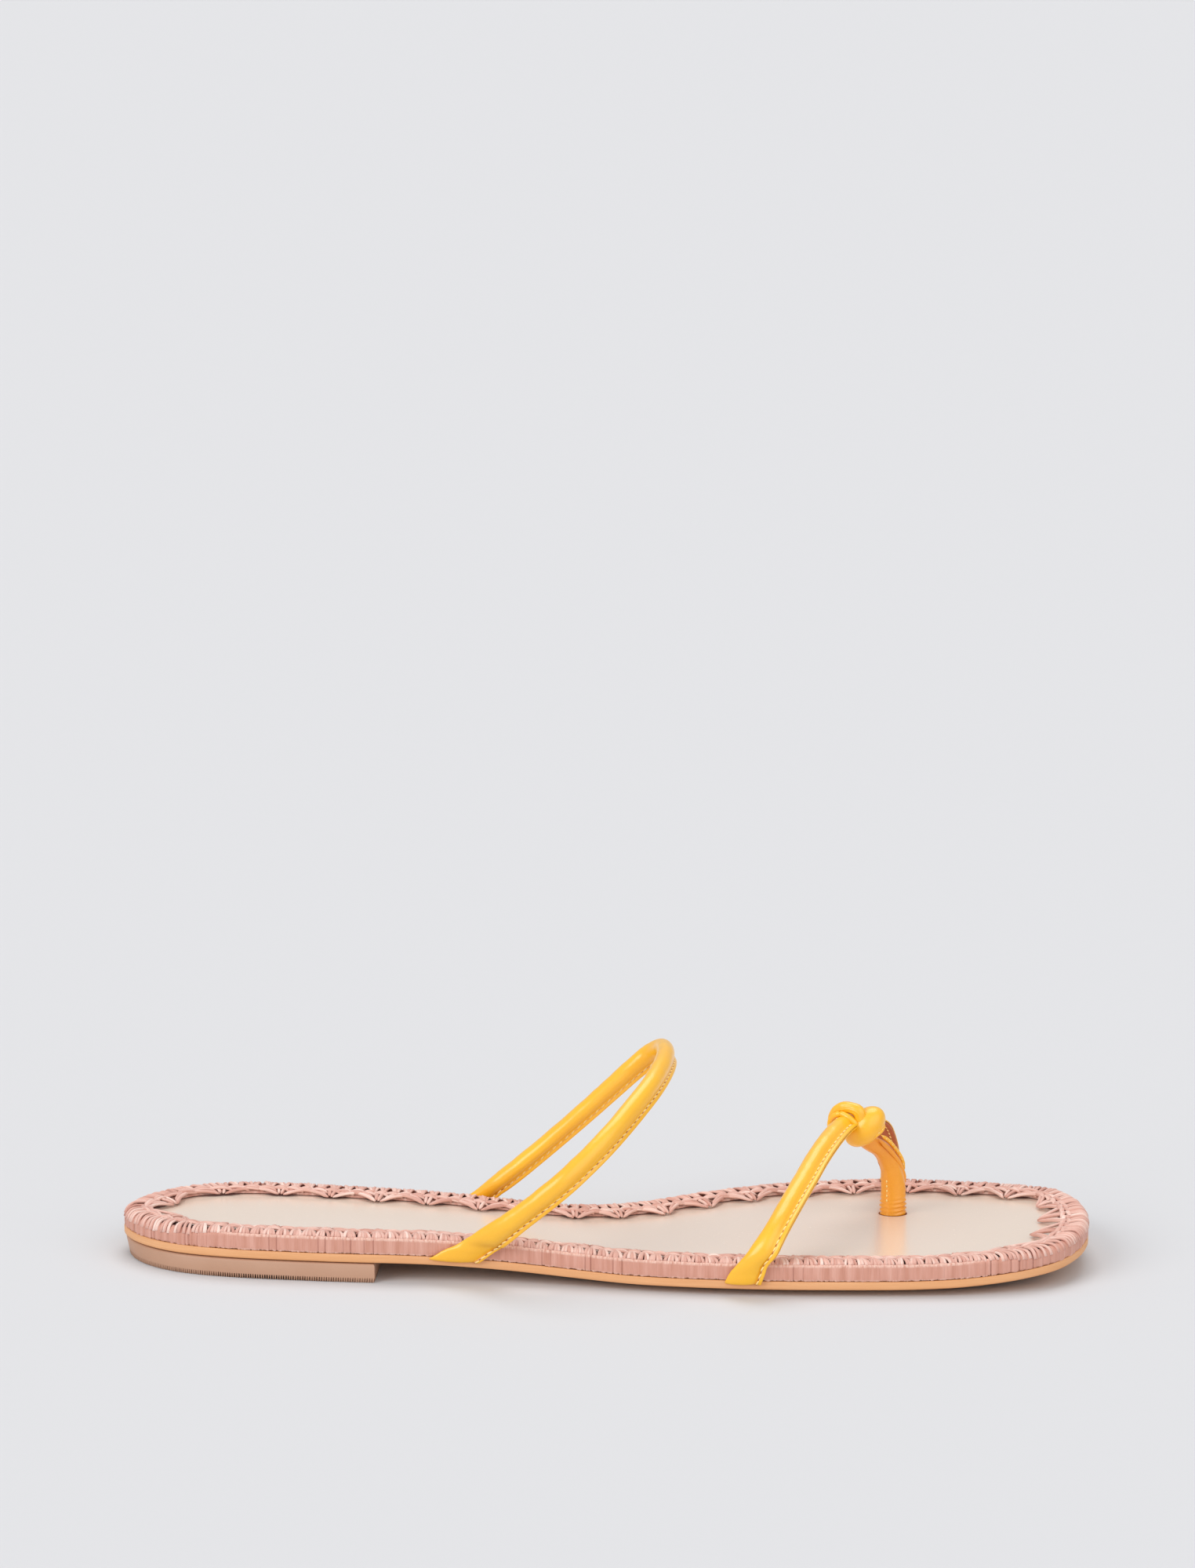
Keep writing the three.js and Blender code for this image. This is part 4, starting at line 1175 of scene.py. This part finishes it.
def build_post(middle):
    """The toe post, smooth above and creased where it goes into the insole."""
    floor = float(insole_top(POST_STATION))
    foot = np.array([POST_STATION, POST_OFFSET, float(outsole_top(POST_STATION)) + POST_SEAT])
    way = middle - foot
    points = [foot] + [foot + way * (toward, toward, up) for toward, up in POST_ROWS]
    count, sides = 230, 48
    share = np.linspace(0, 1, count)
    centre = curve_points(points, share)
    tangent = unit(np.gradient(centre, axis=0))
    narrow = unit(np.array([0, 1, 0]) - tangent * tangent[:, 1:2])
    angle = turns_round(sides)
    above = centre[:, 2] - floor
    fade = np.exp(-(((above - CREASE_HEIGHT) / 2.0) ** 2))[:, None]
    wave = above[:, None] * 5.6 + 1.7 * np.cos(angle + 0.5)[None] + 0.5 * np.sin(3 * angle)[None]
    ripple = CREASE_DEPTH * fade * np.sin(wave) * (0.55 + 0.45 * np.sin(2 * angle + 0.8)[None])
    crease = 0.1 * np.exp(-(((above - 14) / 5) ** 2))[:, None] * np.sin(5 * angle + 0.4)[None]
    width = np.interp(share, *zip(*POST_WIDTHS))[:, None] / 2
    relief = ripple + crease
    depth = width * POST_DEPTH / POST_WIDTH
    places = rings_round(centre, np.cross(tangent, narrow), narrow, angle, width + relief, depth + relief)
    # The post and its near pleat take the deeper orange leather, painted shade under the knot
    make_tube("toe_post", places, POST_SHADED_LEATHER)
    make_cord("post_pleat_near", middle + np.array(NEAR_PLEAT), 1.1, 0.8, POST_SHADED_LEATHER)
    path = make_cord("post_pleat_far", middle + np.array(FAR_PLEAT), 1.1, 0.8, STRAP)
    make_dashes("post_pleat_stitches", path, 1.7, 0.9, 0.4, (0, -0.45, 0.1))
    low, high = POST_SEWN
    sewn = places[(above > low) & (above < high), round(POST_SEAM_TURN * sides)]
    make_dashes("post_stitches", sewn, 1.3, 0.75, 0.5, (-0.04, -0.16, 0))
    # A dark ring of painted shade round the post where it goes into the insole
    base = np.array([[POST_STATION, POST_OFFSET, floor + 0.03]])
    along, aside = np.eye(3)[:2]
    rings = [
        rings_round(base, along[None], aside[None], angle, POST_WIDTH / 2 + grow, POST_DEPTH / 2 + grow)[0]
        for grow in SLOT_SHADE_RIM
    ]
    quads = grid_quads(len(rings), sides, ring_columns=True)
    make_piece("post_slot", np.stack(rings), quads[:, ::-1], SLOT_SHADE)


# Stage, lights and camera

CAMERA_DISTANCE = 1500.0
PHOTO_HEIGHT = 1999.0
FOCAL_PIXELS = 7320.0
AIM = (92.0, 5.0, 8.0)
AIM_RIGHT = 14.0
AIM_BELOW = 556.5
TURN = math.radians(3.0)
LOOK_DOWN = math.radians(14.7)


def place_camera():
    """The camera of the photograph: aim is the sandal's place that it shows at a known pixel."""
    pitch = LOOK_DOWN - math.atan(AIM_BELOW / FOCAL_PIXELS)
    forward = Vector((-math.sin(TURN) * math.cos(pitch), math.cos(TURN) * math.cos(pitch), -math.sin(pitch)))
    right = Vector((math.cos(TURN), math.sin(TURN), 0))
    up = right.cross(forward)
    ray = (forward * FOCAL_PIXELS + right * AIM_RIGHT - up * AIM_BELOW).normalized()
    data = bpy.data.cameras.new("camera")
    data.sensor_width = 36.0
    data.lens = FOCAL_PIXELS / PHOTO_HEIGHT * data.sensor_width
    data.clip_end = 20.0
    camera = link_object("camera", data)
    camera.location = (Vector(AIM) - ray * CAMERA_DISTANCE) * 0.001
    camera.rotation_euler = forward.to_track_quat("-Z", "Y").to_euler()
    bpy.context.scene.camera = camera


def build_stage():
    """A pale floor that reaches past the top of the picture."""
    mesh = bpy.data.meshes.new("floor")
    mesh.from_pydata([(-9, -4, 0), (9, -4, 0), (9, 16, 0), (-9, 16, 0)], [], [(0, 1, 2, 3)])
    material = bpy.data.materials.new("floor_paper")
    material.use_nodes = True
    shader = material.node_tree.nodes["Principled BSDF"]
    shader.inputs["Base Color"].default_value = (0.665, 0.665, 0.68, 1)
    shader.inputs["Roughness"].default_value = 1.0
    shader.inputs["Specular IOR Level"].default_value = 0.0
    mesh.materials.append(material)
    link_object("floor", mesh)


def soft_sun(name, turn, lift, spread, strength):
    """Light from a direction: degrees round from straight behind the camera, and above the floor."""
    data = bpy.data.lights.new(name, "SUN")
    data.energy = strength
    data.angle = math.radians(spread)
    light = link_object(name, data)
    around, up = math.radians(turn), math.radians(lift)
    source = Vector((math.sin(around) * math.cos(up), -math.cos(around) * math.cos(up), math.sin(up)))
    light.rotation_euler = source.to_track_quat("Z", "Y").to_euler()


def place_lights():
    world = bpy.data.worlds.new("studio")
    world.use_nodes = True
    background = world.node_tree.nodes["Background"]
    background.inputs["Color"].default_value = (0.98, 0.99, 1.0, 1)
    background.inputs["Strength"].default_value = 0.5
    bpy.context.scene.world = world
    soft_sun("overhead", 176, 70, 42, 1.08)
    soft_sun("left_front", -46, 29, 38, 1.36)
    soft_sun("right_front", 40, 28, 66, 1.02)


build_outsole()
build_insole()
build_heel()
build_wrap()
build_trim_ground()
build_over_wraps()
build_braid()
build_fans()
build_strap("instep_strap", instep_rows()[0], 31)
all_toe, toe_arch = toe_rows()
build_strap("toe_strap", all_toe, 41, lined_from=FOLD_ROW + 5)
build_post(build_knot(toe_arch))
build_stage()
place_camera()
place_lights()
bpy.context.scene.view_settings.view_transform = "Standard"
